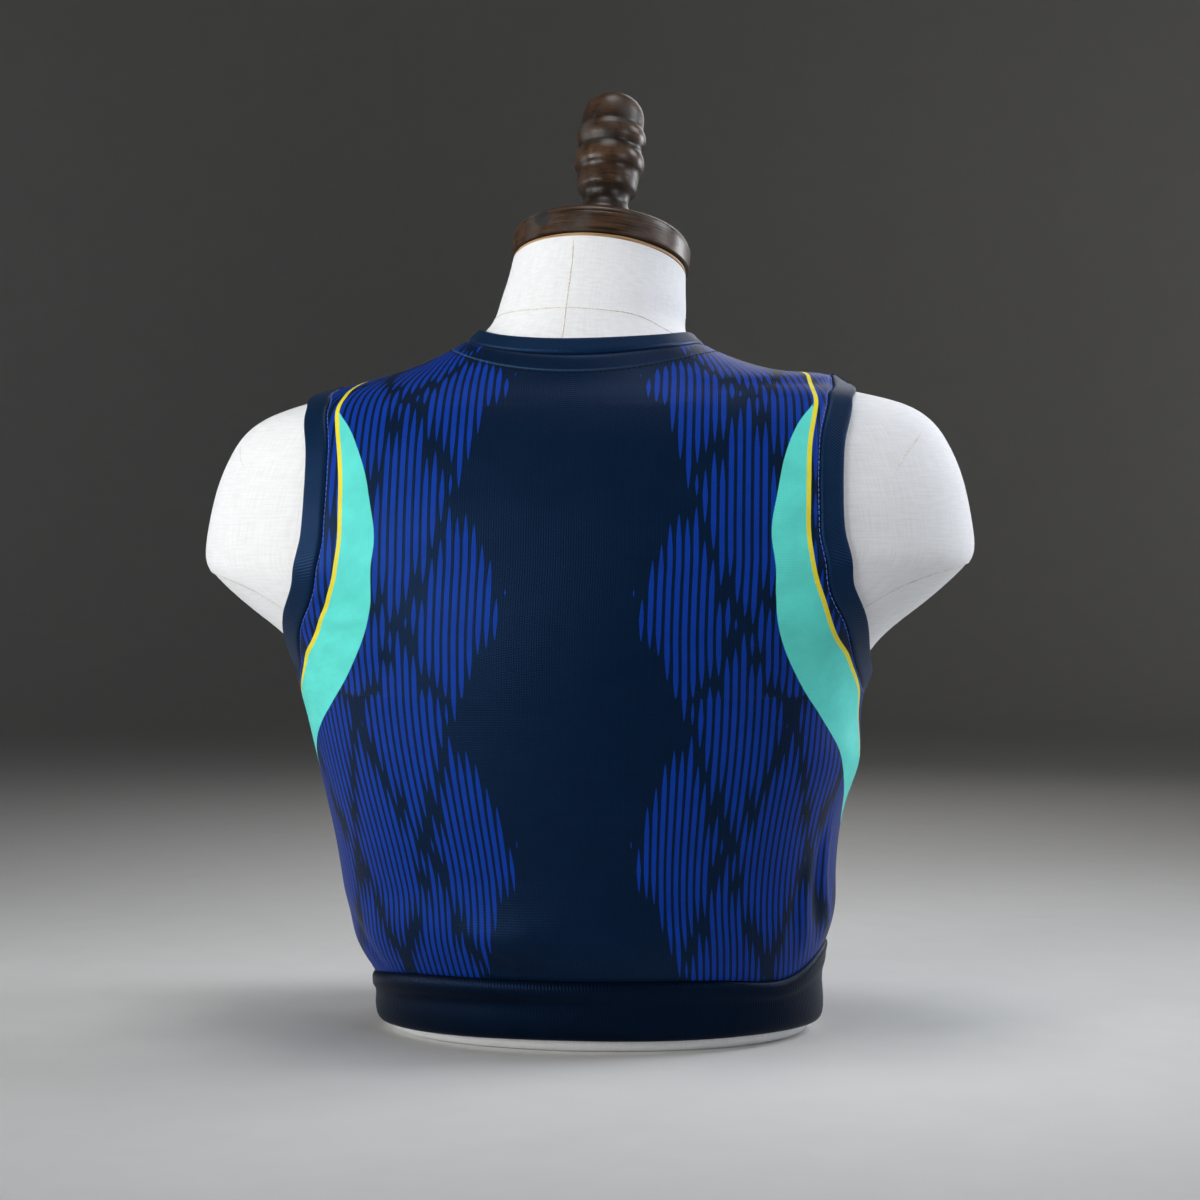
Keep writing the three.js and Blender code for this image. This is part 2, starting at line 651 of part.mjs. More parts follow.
addPiece("form_body", formBody(), linen);
addPiece("neck_plate", neckPlate(), paleWood);
addPiece("neck_cap", neckCap(), stainedWood);
addPiece("finial", finial(), stainedWood);
addPiece("back_panel", panelGeometry(backCut), jerseyPrinted);
addPiece("front_panel", panelGeometry(frontCut), jerseyPrinted);
addPiece("neckband", neckband(), jerseyNavy);
addPiece("armhole_band_left", armholeBand(true), jerseyNavy);
addPiece("armhole_band_right", armholeBand(false), jerseyNavy);
addPiece("hem_band", hemBand(), jerseyNavy);

export default object;
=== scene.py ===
import math

import bpy
import numpy as np
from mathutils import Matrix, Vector


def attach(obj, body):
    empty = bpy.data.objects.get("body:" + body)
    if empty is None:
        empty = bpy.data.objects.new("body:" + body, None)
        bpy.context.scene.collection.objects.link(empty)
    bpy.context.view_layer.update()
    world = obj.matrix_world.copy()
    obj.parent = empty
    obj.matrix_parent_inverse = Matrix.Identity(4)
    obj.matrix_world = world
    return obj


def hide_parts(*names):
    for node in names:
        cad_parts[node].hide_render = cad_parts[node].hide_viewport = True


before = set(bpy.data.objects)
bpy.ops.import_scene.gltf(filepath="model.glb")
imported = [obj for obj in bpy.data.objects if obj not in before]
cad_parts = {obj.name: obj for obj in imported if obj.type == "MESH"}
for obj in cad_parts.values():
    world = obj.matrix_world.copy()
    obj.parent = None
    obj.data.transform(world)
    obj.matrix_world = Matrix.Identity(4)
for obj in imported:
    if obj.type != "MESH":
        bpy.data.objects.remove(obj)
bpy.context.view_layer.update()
bpy.context.scene.view_settings.view_transform = "Standard"
print("frame loaded:", len(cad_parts), "nodes")

# Shapes are worked out in millimetres and turned to metres when a mesh is made.


def naturalCurve(xs, ys):
    # natural cubic through a short table
    xs, ys = np.asarray(xs, float), np.asarray(ys, float)
    last, gap = len(xs) - 1, np.diff(xs)
    system, right = np.eye(last + 1), np.zeros(last + 1)
    for i in range(1, last):
        system[i, i - 1:i + 2] = gap[i - 1], 2 * (gap[i - 1] + gap[i]), gap[i]
        right[i] = 6 * ((ys[i + 1] - ys[i]) / gap[i] - (ys[i] - ys[i - 1]) / gap[i - 1])
    bend = np.linalg.solve(system, right)

    def at(x):
        i = np.clip(np.searchsorted(xs, x, side="left") - 1, 0, last - 1)
        a, b = (xs[i + 1] - x) / gap[i], (x - xs[i]) / gap[i]
        curve = ((a**3 - a) * bend[i] + (b**3 - b) * bend[i + 1]) * gap[i] ** 2 / 6
        return a * ys[i] + b * ys[i + 1] + curve

    return at


def runAlong(steps):
    # how far along a line each point lies, from the length of each step
    return np.concatenate([[0], np.cumsum(steps)])


def smoothStep(x, low, high):
    # 0 below low, 1 above high, and an even S between
    t = np.clip((np.asarray(x, float) - low) / (high - low), 0, 1)
    return t * t * (3 - 2 * t)


# Each ring of the dress form: half width, y of its back and front, y where they meet, how square
# each is, how far the ring leans forward in degrees, sideways sway, and drop per 100 mm to the left.
ringColumns = "height half back front side backFull frontFull lean sway rise".split()
formRings = [
    (0, 115.5, 77, -83, 0, 0.02, 0.02, 0, -6.5, 0),
    (8, 118, 80, -86, 0, 0.02, 0.02, 0, -6.5, 0),
    (30, 120.5, 83, -91, 0, 0.03, 0.03, 0, -5.6, 0),
    (60, 127, 88.5, -100, 0, 0.03, 0.03, 0, -3.5, 0),
    (108, 136, 97, -116, 0, 0.05, 0.03, 0, -1, 0),
    (160, 146, 102, -126, 0, 0.06, 0.03, 0, 1, 0),
    (190, 151.5, 104, -126, 0, 0.05, 0.02, 0, 1.5, 0),
    (206, 156.5, 104.5, -121, 0, 0.045, 0.03, 0, 1.5, 0.2),
    (219, 168, 104.5, -116, 0, 0.04, 0.03, 0, 1.5, 0.5),
    (233, 186, 104, -110, 0, 0.04, 0.04, 0, 1, 0.8),
    (246, 202, 102.5, -103, 0, 0.06, 0.06, 0, 0.5, 1),
    (256, 210.5, 101.5, -99, 0, 0.075, 0.075, 0, 0, 1.1),
    (268, 212, 99.5, -95, 0, 0.08, 0.08, 0, 0, 1.2),
    (284, 209.5, 97, -90, 0, 0.08, 0.08, 0, 0, 1.3),
    (302, 205, 92.5, -83, 0, 0.07, 0.07, 0, 0, 1.4),
    (320, 197, 87, -77, 0, 0.055, 0.055, 0, 0, 1.4),
    (333, 186.5, 81, -71, 0, 0.045, 0.045, 0, 0, 1.4),
    (342, 169, 76, -67, 0, 0.035, 0.035, 0, 0, 1.4),
    (350, 138, 71, -63, 0, 0.02, 0.02, 0, 0, 1.1),
    (358, 106, 67, -59, -1, 0, 0, 0, 0, 0.8),
    (366, 82.5, 62, -58, -2, 0, 0, 2, 0, -0.4),
    (374, 65.5, 57, -57, -3, 0, 0, 4, -0.3, -1.7),
    (383, 54.5, 52, -56, -4, 0, 0, 8, -1.2, -2.3),
    (394, 51.5, 46, -57, -6.5, 0, 0, 12, -3, -3),
    (406, 49.5, 40, -60, -10, 0, 0, 16, -4.8, -5),
    (418, 48, 35.5, -62, -13.5, 0, 0, 17, -6, -6),
]
ringTable = dict(zip(ringColumns, zip(*formRings)))
ring = {name: naturalCurve(ringTable["height"], ringTable[name]) for name in ringColumns[1:]}


def formPoint(height, turn):
    # turn in radians: 0 on the wearer's left, a quarter turn at the centre back
    height, turn = np.broadcast_arrays(np.asarray(height, float), np.asarray(turn, float))
    across, deep = np.cos(turn), np.sin(turn)
    isBack, side = deep > 0, ring["side"](height)
    full = np.where(isBack, ring["backFull"](height), ring["frontFull"](height))
    depth = np.where(isBack, ring["back"](height) - side, side - ring["front"](height))
    lean = np.radians(ring["lean"](height))
    x = ring["half"](height) * across * (1 + full * deep**2)
    y = depth * deep * (1 + full * across**2)
    drop = ring["rise"](height) * x / 100
    return np.stack(
        [x + ring["sway"](height), side + y * np.cos(lean), height + y * np.sin(lean) - drop], -1)


def formSlopes(height, turn):
    alongTurn = (formPoint(height, turn + 0.001) - formPoint(height, turn - 0.001)) / 0.002
    alongHeight = (formPoint(height + 0.05, turn) - formPoint(height - 0.05, turn)) / 0.1
    return alongTurn, alongHeight


def unit(v):
    return v / np.linalg.norm(v, axis=-1, keepdims=True)


def formNormal(height, turn):
    return unit(np.cross(*formSlopes(height, turn)))


def liftedPoint(height, turn, lift):
    return formPoint(height, turn) + formNormal(height, turn) * np.asarray(lift)[..., None]


def bump(value, middle, width):
    # a soft swell: 1 at its middle, about a third of that one width away
    return np.exp(-(((value - middle) / width) ** 2))


def clothLift(height, turn):
    # clear space under the cloth in mm, the same as the frame's: least where it lies on the shoulders
    hang = 1 - smoothStep(height, 185, 330)
    left, right = np.maximum(0, np.cos(turn)), np.maximum(0, -np.cos(turn))
    underarm = 3 * bump(height, 208, 24) * (left + right)
    hollow = np.where(np.sin(turn) < 0, 1.5 * bump(height, 332, 24), 0)
    blouse = bump(height, 62, 30) * (1 + 0.9 * (left + right) ** 2)
    rightWidth = np.where(height < 351, 1.7, 5)
    shoulder = 1.4 * bump(height, 354, 9) * left**4 + 4.2 * bump(height, 351, rightWidth) * right**4
    leftWaist = 2.4 * left**6 * smoothStep(height, 55, 80) * (1 - smoothStep(height, 182, 205))
    rightWaist = 5 * right**6 * bump(height, 150, 20)
    return 0.8 + 0.4 * hang + underarm + hollow + blouse + shoulder + leftWaist + rightWaist


def hemTilt(turn):
    # the seam above the hem band dips on the wearer's left, and on the right it sags and then climbs
    fromLeft = np.degrees(np.arccos(np.cos(turn)))
    return 11.5 * bump(fromLeft, 180, 20) - 4.5 * bump(fromLeft, 147, 17) - 9 * bump(fromLeft, 0, 33)


# Meshes and nodes.


def newPiece(name, points, faces, material, slot, places=None, sharp=None):
    # a mesh from millimetre points, turned to face out, riding on the form
    points = np.asarray(points, float) / 1000
    faces = [np.asarray(part) for part in faces]
    halves = [f[:, :3] for f in faces] + [f[:, [0, 2, 3]] for f in faces if f.shape[1] == 4]
    triangles = np.concatenate(halves)
    a, b, c = (points[triangles[:, i]] for i in range(3))
    if (a * np.cross(b, c)).sum() < 0:
        faces = [f[:, ::-1] for f in faces]
    mesh = bpy.data.meshes.new(name)
    mesh.from_pydata(points.tolist(), [], [row for f in faces for row in f.tolist()])
    mesh.shade_smooth()
    if sharp:
        mesh.set_sharp_from_angle(angle=math.radians(sharp))
    for key, values in (places or {}).items():
        layer = mesh.attributes.new(key, "FLOAT_VECTOR", "POINT")
        layer.data.foreach_set("vector", np.asarray(values, np.float32).ravel())
    mesh.materials.append(material)
    piece = bpy.data.objects.new(name, mesh)
    bpy.context.scene.collection.objects.link(piece)
    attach(piece, "root")
    return piece


def gridFaces(rows, columns, closed=False):
    at = np.arange(rows * columns).reshape(rows, columns)
    if closed:
        at = np.concatenate([at, at[:, :1]], 1)
    return np.stack([at[:-1, :-1], at[:-1, 1:], at[1:, 1:], at[1:, :-1]], -1).reshape(-1, 4)


def cappedTube(rings):
    # closed rings of points joined into a tube, with a fan over each end
    rows, columns = rings.shape[:2]
    j = np.arange(columns)
    count, last, after = rows * columns, (rows - 1) * columns, (j + 1) % columns
    fans = np.concatenate([
        np.stack([np.full(columns, count), after, j], -1),
        np.stack([np.full(columns, count + 1), last + j, last + after], -1)])
    points = np.concatenate([rings.reshape(-1, 3), [rings[0].mean(0), rings[-1].mean(0)]])
    return points, [gridFaces(rows, columns, True), fans]


def loopFaces(count, corners):
    # the faces of a closed band whose cross-section is closed too
    at = np.arange(count * corners).reshape(count, corners)
    right, down = np.roll(at, -1, 1), np.roll(at, -1, 0)
    return np.stack([at, right, np.roll(down, -1, 1), down], -1).reshape(-1, 4)


def shellFaces(rows, columns):
    # an outer grid, an inner grid behind it, and a wall round the edge
    face, far = gridFaces(rows, columns), rows * columns
    at = np.arange(far).reshape(rows, columns)
    edge = np.concatenate([at[0, :-1], at[:-1, -1], at[-1, :0:-1], at[:0:-1, 0]])
    after = np.roll(edge, -1)
    return [face, face[:, ::-1] + far, np.stack([edge, edge + far, after + far, after], -1)]


def tube(line, normal, wide, high, sides=8):
    # a small flattened cord along a line; wide and high may change along it
    along = unit(np.gradient(line, axis=0))
    side = unit(np.cross(along, normal))
    up = np.cross(side, along)
    angle = np.arange(sides) * 2 * math.pi / sides
    wide, high = (np.broadcast_to(v, len(line))[:, None, None] for v in (wide, high))
    across = side[:, None] * np.cos(angle)[:, None] * wide
    points = line[:, None] + across + up[:, None] * np.sin(angle)[:, None] * high
    return points.reshape(-1, 3), gridFaces(len(line), sides, True)


def joined(parts):
    # several (points, faces) as one
    count, points, faces = 0, [], []
    for somePoints, someFaces in parts:
        points.append(somePoints)
        faces.append(someFaces + count)
        count += len(somePoints)
    return np.concatenate(points), [np.concatenate(faces)]


def linear(hexColour):
    # sRGB hex to linear RGBA
    parts = [int(hexColour[i:i + 2], 16) / 255 for i in (1, 3, 5)]
    return (*[c / 12.92 if c <= 0.04045 else ((c + 0.055) / 1.055) ** 2.4 for c in parts], 1)


def addNode(tree, kind, inputs=None, **settings):
    # a node with its settings; an input is a number, a colour, a socket or another node
    node = tree.nodes.new("ShaderNode" + kind)
    for key, value in settings.items():
        setattr(node, key, value)
    for key, value in (inputs or {}).items():
        if isinstance(value, bpy.types.Node):
            value = value.outputs[0]
        if isinstance(value, bpy.types.NodeSocket):
            tree.links.new(value, node.inputs[key])
        else:
            node.inputs[key].default_value = value
    return node


def ridges(tree, place, spacing):
    # a wave that repeats every so many mm, for threads and ribs
    turned = addNode(tree, "Math", {0: place, 1: 2 * math.pi / spacing}, operation="MULTIPLY")
    return addNode(tree, "Math", {0: turned}, operation="SINE")


def apart(tree, one, other):
    # how far two values lie from each other
    gap = addNode(tree, "Math", {0: one, 1: other}, operation="SUBTRACT")
    return addNode(tree, "Math", {0: gap}, operation="ABSOLUTE")


def newMaterial(name, surface):
    # an empty material whose surface has these plain values
    material = bpy.data.materials.new(name)
    material.use_nodes = True
    tree = material.node_tree
    tree.nodes.clear()
    shader = addNode(tree, "BsdfPrincipled", surface)
    addNode(tree, "OutputMaterial", {"Surface": shader})
    return material, tree, shader


# Materials.

# Polyester interlock, printed through before sewing: matt, soft at grazing light, fine ribs.
printedJersey = {
    "navy": "#05172d", "blue": "#0c3493", "teal": "#60dccf", "yellow": "#e6da36",
    "stripePitch": 4.4, "stripeHalf": 1.42,  # mm between stripes, and half a stripe at its widest
    "diamondWide": 60, "diamondTall": 136, "firstColumn": 2,  # mm, and the column nearest the middle
    "gap": (0.015, 0.05), "ragged": 8, "taper": 10.0,  # ragged: mm the stripe ends wander up or down
    "yellowHalf": 1.2,  # mm
    "ribSpacing": 1.3,  # mm; the real ribs are half that, too fine to show
    "paintedHighlightColour": "#3c6288", "paintedHighlightAt": 10.2, "paintedShadeAt": 11.4,  # a painted highlight line beside the neck stitches, and the painted shade of the groove they sink into
}


def makePrintedJersey():
    look = printedJersey
    material, tree, shader = newMaterial("printed_interlock", {
        "Roughness": 0.44, "Specular IOR Level": 0.22, "Specular Tint": linear("#7eadff"),
        "Sheen Weight": 0.02, "Sheen Roughness": 0.3, "Sheen Tint": linear("#9dbcff")})
    printPlace = addNode(tree, "Attribute", attribute_name="printPlace").outputs["Vector"]
    place = addNode(tree, "SeparateXYZ", {0: printPlace})
    blocks = addNode(tree, "SeparateXYZ", {0: addNode(
        tree, "Attribute", attribute_name="blockPlace").outputs["Vector"]})
    across = addNode(tree, "Math", {0: place.outputs["X"]}, operation="ABSOLUTE")
    up = place.outputs["Y"]
    # pinstripes: each keeps to the line nearest its multiple of the pitch
    stripeLine = addNode(tree, "Math", {0: across, 1: look["stripePitch"]}, operation="SNAP")
    middle = addNode(tree, "Math", {0: stripeLine, 1: look["stripePitch"] / 2}, operation="ADD")
    chance = addNode(tree, "SeparateColor", {0: addNode(
        tree, "TexWhiteNoise", {"W": middle}, noise_dimensions="1D").outputs["Color"]})
    away = apart(tree, across, middle)
    # a lattice of diamonds decides how far up and down each stripe runs
    wide = addNode(tree, "Math", {0: middle, 1: look["diamondWide"]}, operation="DIVIDE")
    jitter = addNode(tree, "MapRange", {
        "Value": chance.outputs[0], "To Min": -look["ragged"], "To Max": look["ragged"]})
    tall = addNode(tree, "Math", {0: addNode(
        tree, "Math", {0: up, 1: jitter}, operation="ADD"), 1: look["diamondTall"]}, operation="DIVIDE")
    gap = addNode(tree, "MapRange", {
        "Value": chance.outputs[1], "To Min": look["gap"][0], "To Max": look["gap"][1]})
    rising = addNode(tree, "Math", {0: wide, 1: tall}, operation="ADD")
    falling = addNode(tree, "Math", {0: wide, 1: tall}, operation="SUBTRACT")
    inRising = addNode(tree, "Math", {0: rising, 1: 0.5}, operation="PINGPONG")
    inFalling = addNode(tree, "Math", {0: falling, 1: 0.5}, operation="PINGPONG")
    inside = addNode(tree, "Math", {0: addNode(
        tree, "Math", {0: inRising, 1: inFalling}, operation="MINIMUM"), 1: gap}, operation="SUBTRACT")
    grown = addNode(tree, "Math", {0: inside, 1: look["taper"]}, operation="MULTIPLY", use_clamp=True)
    rounded = addNode(tree, "Math", {0: grown, 1: 0.6}, operation="POWER")
    column = addNode(tree, "Math", {
        0: addNode(tree, "Math", {0: rising}, operation="FLOOR"),
        1: addNode(tree, "Math", {0: falling}, operation="FLOOR")}, operation="ADD")
    isSide = addNode(tree, "Math", {0: column, 1: look["firstColumn"] - 1.5}, operation="GREATER_THAN")
    half = addNode(tree, "Math", {0: rounded, 1: look["stripeHalf"]}, operation="MULTIPLY")
    half = addNode(tree, "Math", {0: half, 1: isSide}, operation="MULTIPLY")
    stripe = addNode(tree, "MapRange", {
        "Value": addNode(tree, "Math", {0: half, 1: away}, operation="SUBTRACT"),
        "From Min": -0.1, "From Max": 0.25}, interpolation_type="SMOOTHSTEP")
    # colour blocks: signed distances in mm
    isTeal = addNode(tree, "MapRange", {"Value": blocks.outputs["X"], "From Min": -0.2, "From Max": 0.2})
    isYellow = addNode(tree, "MapRange", {
        "Value": addNode(tree, "Math", {0: blocks.outputs["Y"]}, operation="ABSOLUTE"),
        "From Min": look["yellowHalf"] + 0.15, "From Max": look["yellowHalf"] - 0.15})
    # patches about 17 mm across
    mottle = addNode(tree, "TexNoise", {"Scale": 0.06, "Detail": 3.0, "Vector": printPlace})
    shade = addNode(tree, "MapRange", {
        "Value": mottle, "From Min": 0.3, "From Max": 0.7, "To Min": 0.92, "To Max": 1.08})
    # painted highlight: a light line beside the neck stitches, stronger to the left where the light falls;
    # painted shade: a dark line where the stitches sink into a groove
    fromNeck = place.outputs["Z"]
    # painted highlight: stronger towards the left, where the light falls
    brighterToLeft = addNode(tree, "MapRange", {
        "Value": place.outputs["X"], "From Min": -30.0, "From Max": 60.0, "To Min": 0.1, "To Max": 0.55})
    onPaintedHighlight = addNode(tree, "MapRange", {
        "Value": apart(tree, fromNeck, look["paintedHighlightAt"]), "From Min": 0.7, "From Max": 0.2})
    paintedHighlight = addNode(tree, "Math", {0: onPaintedHighlight, 1: brighterToLeft}, operation="MULTIPLY")
    # painted shade: a dark line along the neck stitches, multiplied into the print's colour
    groove = addNode(tree, "MapRange", {
        "Value": apart(tree, fromNeck, look["paintedShadeAt"]), "From Min": 0.3, "From Max": 0.75,
        "To Min": 0.6, "To Max": 1.0})
    shade = addNode(tree, "Math", {0: shade, 1: groove}, operation="MULTIPLY")
    # each colour is laid over the ones before it
    colour = linear(look["navy"])
    # the last layer is the painted highlight beside the neck stitches
    for share, name in ((stripe, "blue"), (isTeal, "teal"), (isYellow, "yellow"), (paintedHighlight, "paintedHighlightColour")):
        layer = addNode(tree, "Mix", {0: share, 6: colour, 7: linear(look[name])}, data_type="RGBA")
        colour = layer.outputs[2]
    shaded = addNode(tree, "VectorMath", {0: colour, "Scale": shade}, operation="SCALE")
    tree.links.new(shaded.outputs[0], shader.inputs["Base Color"])
    # knitted ribs and the rows of loops across them
    ribs = ridges(tree, place.outputs["X"], look["ribSpacing"])
    knit = addNode(tree, "Math", {0: ribs, 1: ridges(tree, up, look["ribSpacing"])}, operation="ADD")
    fuzz = addNode(tree, "TexNoise", {"Scale": 0.9, "Detail": 2.0, "Vector": printPlace})
    height = addNode(tree, "Math", {0: knit, 1: fuzz}, operation="ADD")
    relief = addNode(tree, "Bump", {"Strength": 0.25, "Distance": 0.0001, "Height": height})
    tree.links.new(relief.outputs[0], shader.inputs["Normal"])
    return material


# The same interlock, doubled and cut on the bias for bindings: slanting ribs catch the light.
# The hem band is cut along the ribs and hangs face on, so it looks smoother; its navy is painted darker, as
# shade low on the form.
bindingJersey = {
    "navy": "#092039", "ribSpacing": 1.7, "slant": 0.55, "rough": 0.45, "shine": 0.3, "sheen": 0.04}
# painted shade: the same interlock as the bindings, its navy painted darker low on the form
shadedHemJersey = {
    "navy": "#030d1c", "ribSpacing": 1.7, "slant": 0.1, "rough": 0.4, "shine": 0.16, "sheen": 0.012}


def makeBandJersey(name, look):
    material, tree, shader = newMaterial(name, {
        "Roughness": look["rough"], "Specular IOR Level": look["shine"], "Specular Tint": linear("#76a8ff"),
        "Sheen Weight": look["sheen"], "Sheen Roughness": 0.3, "Sheen Tint": linear("#9dbcff")})
    place = addNode(tree, "Attribute", attribute_name="bandPlace").outputs["Vector"]
    split = addNode(tree, "SeparateXYZ", {0: place})
    slant = addNode(tree, "Math", {0: split.outputs["Y"], 1: look["slant"]}, operation="MULTIPLY")
    slanting = addNode(tree, "Math", {0: split.outputs["X"], 1: slant}, operation="ADD")
    ribs = ridges(tree, slanting, look["ribSpacing"])
    fuzz = addNode(tree, "TexNoise", {"Scale": 0.8, "Detail": 3.0, "Vector": place})
    height = addNode(tree, "Math", {0: ribs, 1: fuzz}, operation="ADD")
    relief = addNode(tree, "Bump", {"Strength": 0.3, "Distance": 0.00015, "Height": height})
    tree.links.new(relief.outputs[0], shader.inputs["Normal"])
    # patches about 20 mm across
    mottle = addNode(tree, "TexNoise", {"Scale": 0.05, "Detail": 3.0, "Vector": place})
    shade = addNode(tree, "MapRange", {
        "Value": mottle, "From Min": 0.3, "From Max": 0.7, "To Min": 0.88, "To Max": 1.12})
    colour = addNode(tree, "VectorMath", {0: linear(look["navy"])[:3], "Scale": shade}, operation="SCALE")
    tree.links.new(colour.outputs[0], shader.inputs["Base Color"])
    return material


# Plain woven linen, glued over foam: dry and matt, with slubs and a visible square weave.
linenCover = {"thread": "#e9eaec", "shadow": "#dfdfe0", "threadSpacing": 0.8}  # mm; real 0.6


def makeLinen():
    look = linenCover
    material, tree, shader = newMaterial("plain_linen", {
        "Roughness": 0.88, "Specular IOR Level": 0.2, "Sheen Weight": 0.08, "Sheen Roughness": 0.5})
    place = addNode(tree, "Attribute", attribute_name="clothPlace").outputs["Vector"]
    # no thread runs quite straight: it wanders up to 2 mm over about 12
    wander = addNode(tree, "TexNoise", {"Scale": 0.08, "Detail": 2.0, "Vector": place})
    wander = addNode(tree, "VectorMath", {0: wander.outputs["Color"], "Scale": 2.0}, operation="SCALE")
    moved = addNode(tree, "VectorMath", {0: wander, 1: place}, operation="ADD")
    split = addNode(tree, "SeparateXYZ", {0: moved})
    warp = ridges(tree, split.outputs["X"], look["threadSpacing"])
    weft = ridges(tree, split.outputs["Y"], look["threadSpacing"])
    weave = addNode(tree, "Math", {0: warp, 1: weft}, operation="MULTIPLY")
    # slubs about 1 mm thick and 17 mm long, both ways
    slubAcross = addNode(tree, "TexNoise", {"Scale": 1.0, "Detail": 2.0, "Vector": addNode(
        tree, "VectorMath", {0: place, 1: (0.06, 0.9, 1.0)}, operation="MULTIPLY")})
    slubUp = addNode(tree, "TexNoise", {"Scale": 1.0, "Detail": 2.0, "Vector": addNode(
        tree, "VectorMath", {0: place, 1: (0.9, 0.06, 1.0)}, operation="MULTIPLY")})
    slubs = addNode(tree, "Math", {0: slubAcross, 1: slubUp}, operation="ADD")
    height = addNode(tree, "Math", {0: addNode(
        tree, "Math", {0: weave, 1: 0.4}, operation="MULTIPLY"), 1: slubs}, operation="ADD")
    relief = addNode(tree, "Bump", {"Strength": 0.2, "Distance": 0.0001, "Height": height})
    tree.links.new(relief.outputs[0], shader.inputs["Normal"])
    tone = addNode(tree, "MapRange", {"Value": slubs, "From Min": 0.75, "From Max": 1.25})
    colour = addNode(tree, "Mix", {
        0: tone, 6: linear(look["shadow"]), 7: linear(look["thread"])}, data_type="RGBA")
    tree.links.new(colour.outputs[2], shader.inputs["Base Color"])
    return material


# Sewing thread: a dry twisted yarn, fine diagonal plies.
def makeThread(name, hexColour):
    material, tree, shader = newMaterial(name, {"Roughness": 0.7, "Specular IOR Level": 0.3})
    where = addNode(tree, "TexCoord")
    # plies about 1 mm long
    plies = addNode(tree, "TexNoise", {"Scale": 900.0, "Detail": 1.0, "Vector": where.outputs["Object"]})
    shade = addNode(tree, "MapRange", {
        "Value": plies, "From Min": 0.3, "From Max": 0.7, "To Min": 0.75, "To Max": 1.2})
    colour = addNode(tree, "VectorMath", {0: linear(hexColour)[:3], "Scale": shade}, operation="SCALE")
    tree.links.new(colour.outputs[0], shader.inputs["Base Color"])
    return material


# Turned beech, stained dark and varnished: brown where the stain has rubbed off the crests,
# near black in the grooves, streaks along the grain, a clear gloss over all.
stainedBeech = {
    "worn": "#5a4230", "stain": "#1e1713", "grey": "#45413d", "plug": "#2a2c2d",
    "plugPlace": (0.0215, 0.0, 0.4436), "plugRadius": 0.0048,  # metres
}


def makeStainedBeech(name, grainScale):
    look = stainedBeech
    material, tree, shader = newMaterial(name, {
        "Roughness": 0.4, "Coat Weight": 0.07, "Coat Roughness": 0.26, "Specular IOR Level": 0.2})
    where = addNode(tree, "TexCoord").outputs["Object"]
    grain = addNode(tree, "TexNoise", {"Scale": 1.0, "Detail": 5.0, "Roughness": 0.65, "Vector": addNode(
        tree, "VectorMath", {0: where, 1: grainScale}, operation="MULTIPLY")})
    # dull patches about 18 mm across
    patches = addNode(tree, "TexNoise", {"Scale": 55.0, "Detail": 3.0, "Vector": where})
    turnedPlace = addNode(tree, "Attribute", attribute_name="turnedPlace").outputs["Vector"]
    lathe = addNode(tree, "SeparateXYZ", {0: turnedPlace})
    rings = addNode(tree, "TexNoise", {"Scale": 1.0, "Detail": 3.0, "Vector": addNode(
        tree, "VectorMath", {0: turnedPlace, 1: (0.03, 1.3, 0.0)}, operation="MULTIPLY")})
    streaks = addNode(tree, "MapRange", {"Value": grain, "From Min": 0.38, "From Max": 0.66})
    lines = addNode(tree, "MapRange", {"Value": rings, "From Min": 0.35, "From Max": 0.65})
    mixed = addNode(tree, "Math", {0: addNode(tree, "Math", {
        0: streaks, 1: lines}, operation="ADD"), 1: 0.5}, operation="MULTIPLY")
    # crest is 0 in a groove and 1 on a bead
    rubbed = addNode(tree, "Math", {0: mixed, 1: lathe.outputs["Z"]}, operation="MULTIPLY")
    colour = addNode(tree, "Mix", {
        0: rubbed, 6: linear(look["stain"]), 7: linear(look["worn"])}, data_type="RGBA")
    dull = addNode(tree, "MapRange", {"Value": patches, "From Min": 0.5, "From Max": 0.68, "To Max": 0.65})
    colour = addNode(tree, "Mix", {0: dull, 6: colour.outputs[2], 7: linear(look["grey"])}, data_type="RGBA")
    fromPlug = addNode(tree, "VectorMath", {0: addNode(
        tree, "VectorMath", {0: where, 1: (1, 0, 1)}, operation="MULTIPLY"),
        1: look["plugPlace"]}, operation="DISTANCE")
    isPlug = addNode(tree, "MapRange", {
        "Value": fromPlug.outputs["Value"], "From Min": look["plugRadius"] + 0.0008,
        "From Max": look["plugRadius"] - 0.0008, "To Max": 0.75})
    colour = addNode(tree, "Mix", {0: isPlug, 6: colour.outputs[2], 7: linear(look["plug"])}, data_type="RGBA")
    tree.links.new(colour.outputs[2], shader.inputs["Base Color"])
    gloss = addNode(tree, "MapRange", {
        "Value": patches, "From Min": 0.3, "From Max": 0.7, "To Min": 0.24, "To Max": 0.46})
    tree.links.new(gloss.outputs[0], shader.inputs["Roughness"])
    relief = addNode(tree, "Bump", {"Strength": 0.25, "Distance": 0.0003, "Height": mixed})
    tree.links.new(relief.outputs[0], shader.inputs["Normal"])
    return material


# Bare birch plywood edge: pale, dry, with thin darker plies.
def makeBarePly():
    material, tree, shader = newMaterial("bare_plywood", {"Roughness": 0.65, "Specular IOR Level": 0.35})
    place = addNode(tree, "Attribute", attribute_name="turnedPlace")
    plies = addNode(tree, "TexNoise", {"Scale": 1.0, "Detail": 3.0, "Vector": addNode(
        tree, "VectorMath", {0: place.outputs["Vector"], 1: (0.05, 1.6, 0.0)}, operation="MULTIPLY")})
    tone = addNode(tree, "MapRange", {"Value": plies, "From Min": 0.35, "From Max": 0.65})
    colour = addNode(tree, "Mix", {0: tone, 6: linear("#8a6745"), 7: linear("#c9a57a")}, data_type="RGBA")
    tree.links.new(colour.outputs[2], shader.inputs["Base Color"])
    relief = addNode(tree, "Bump", {"Strength": 0.3, "Distance": 0.0002, "Height": plies})
    tree.links.new(relief.outputs[0], shader.inputs["Normal"])
    return material


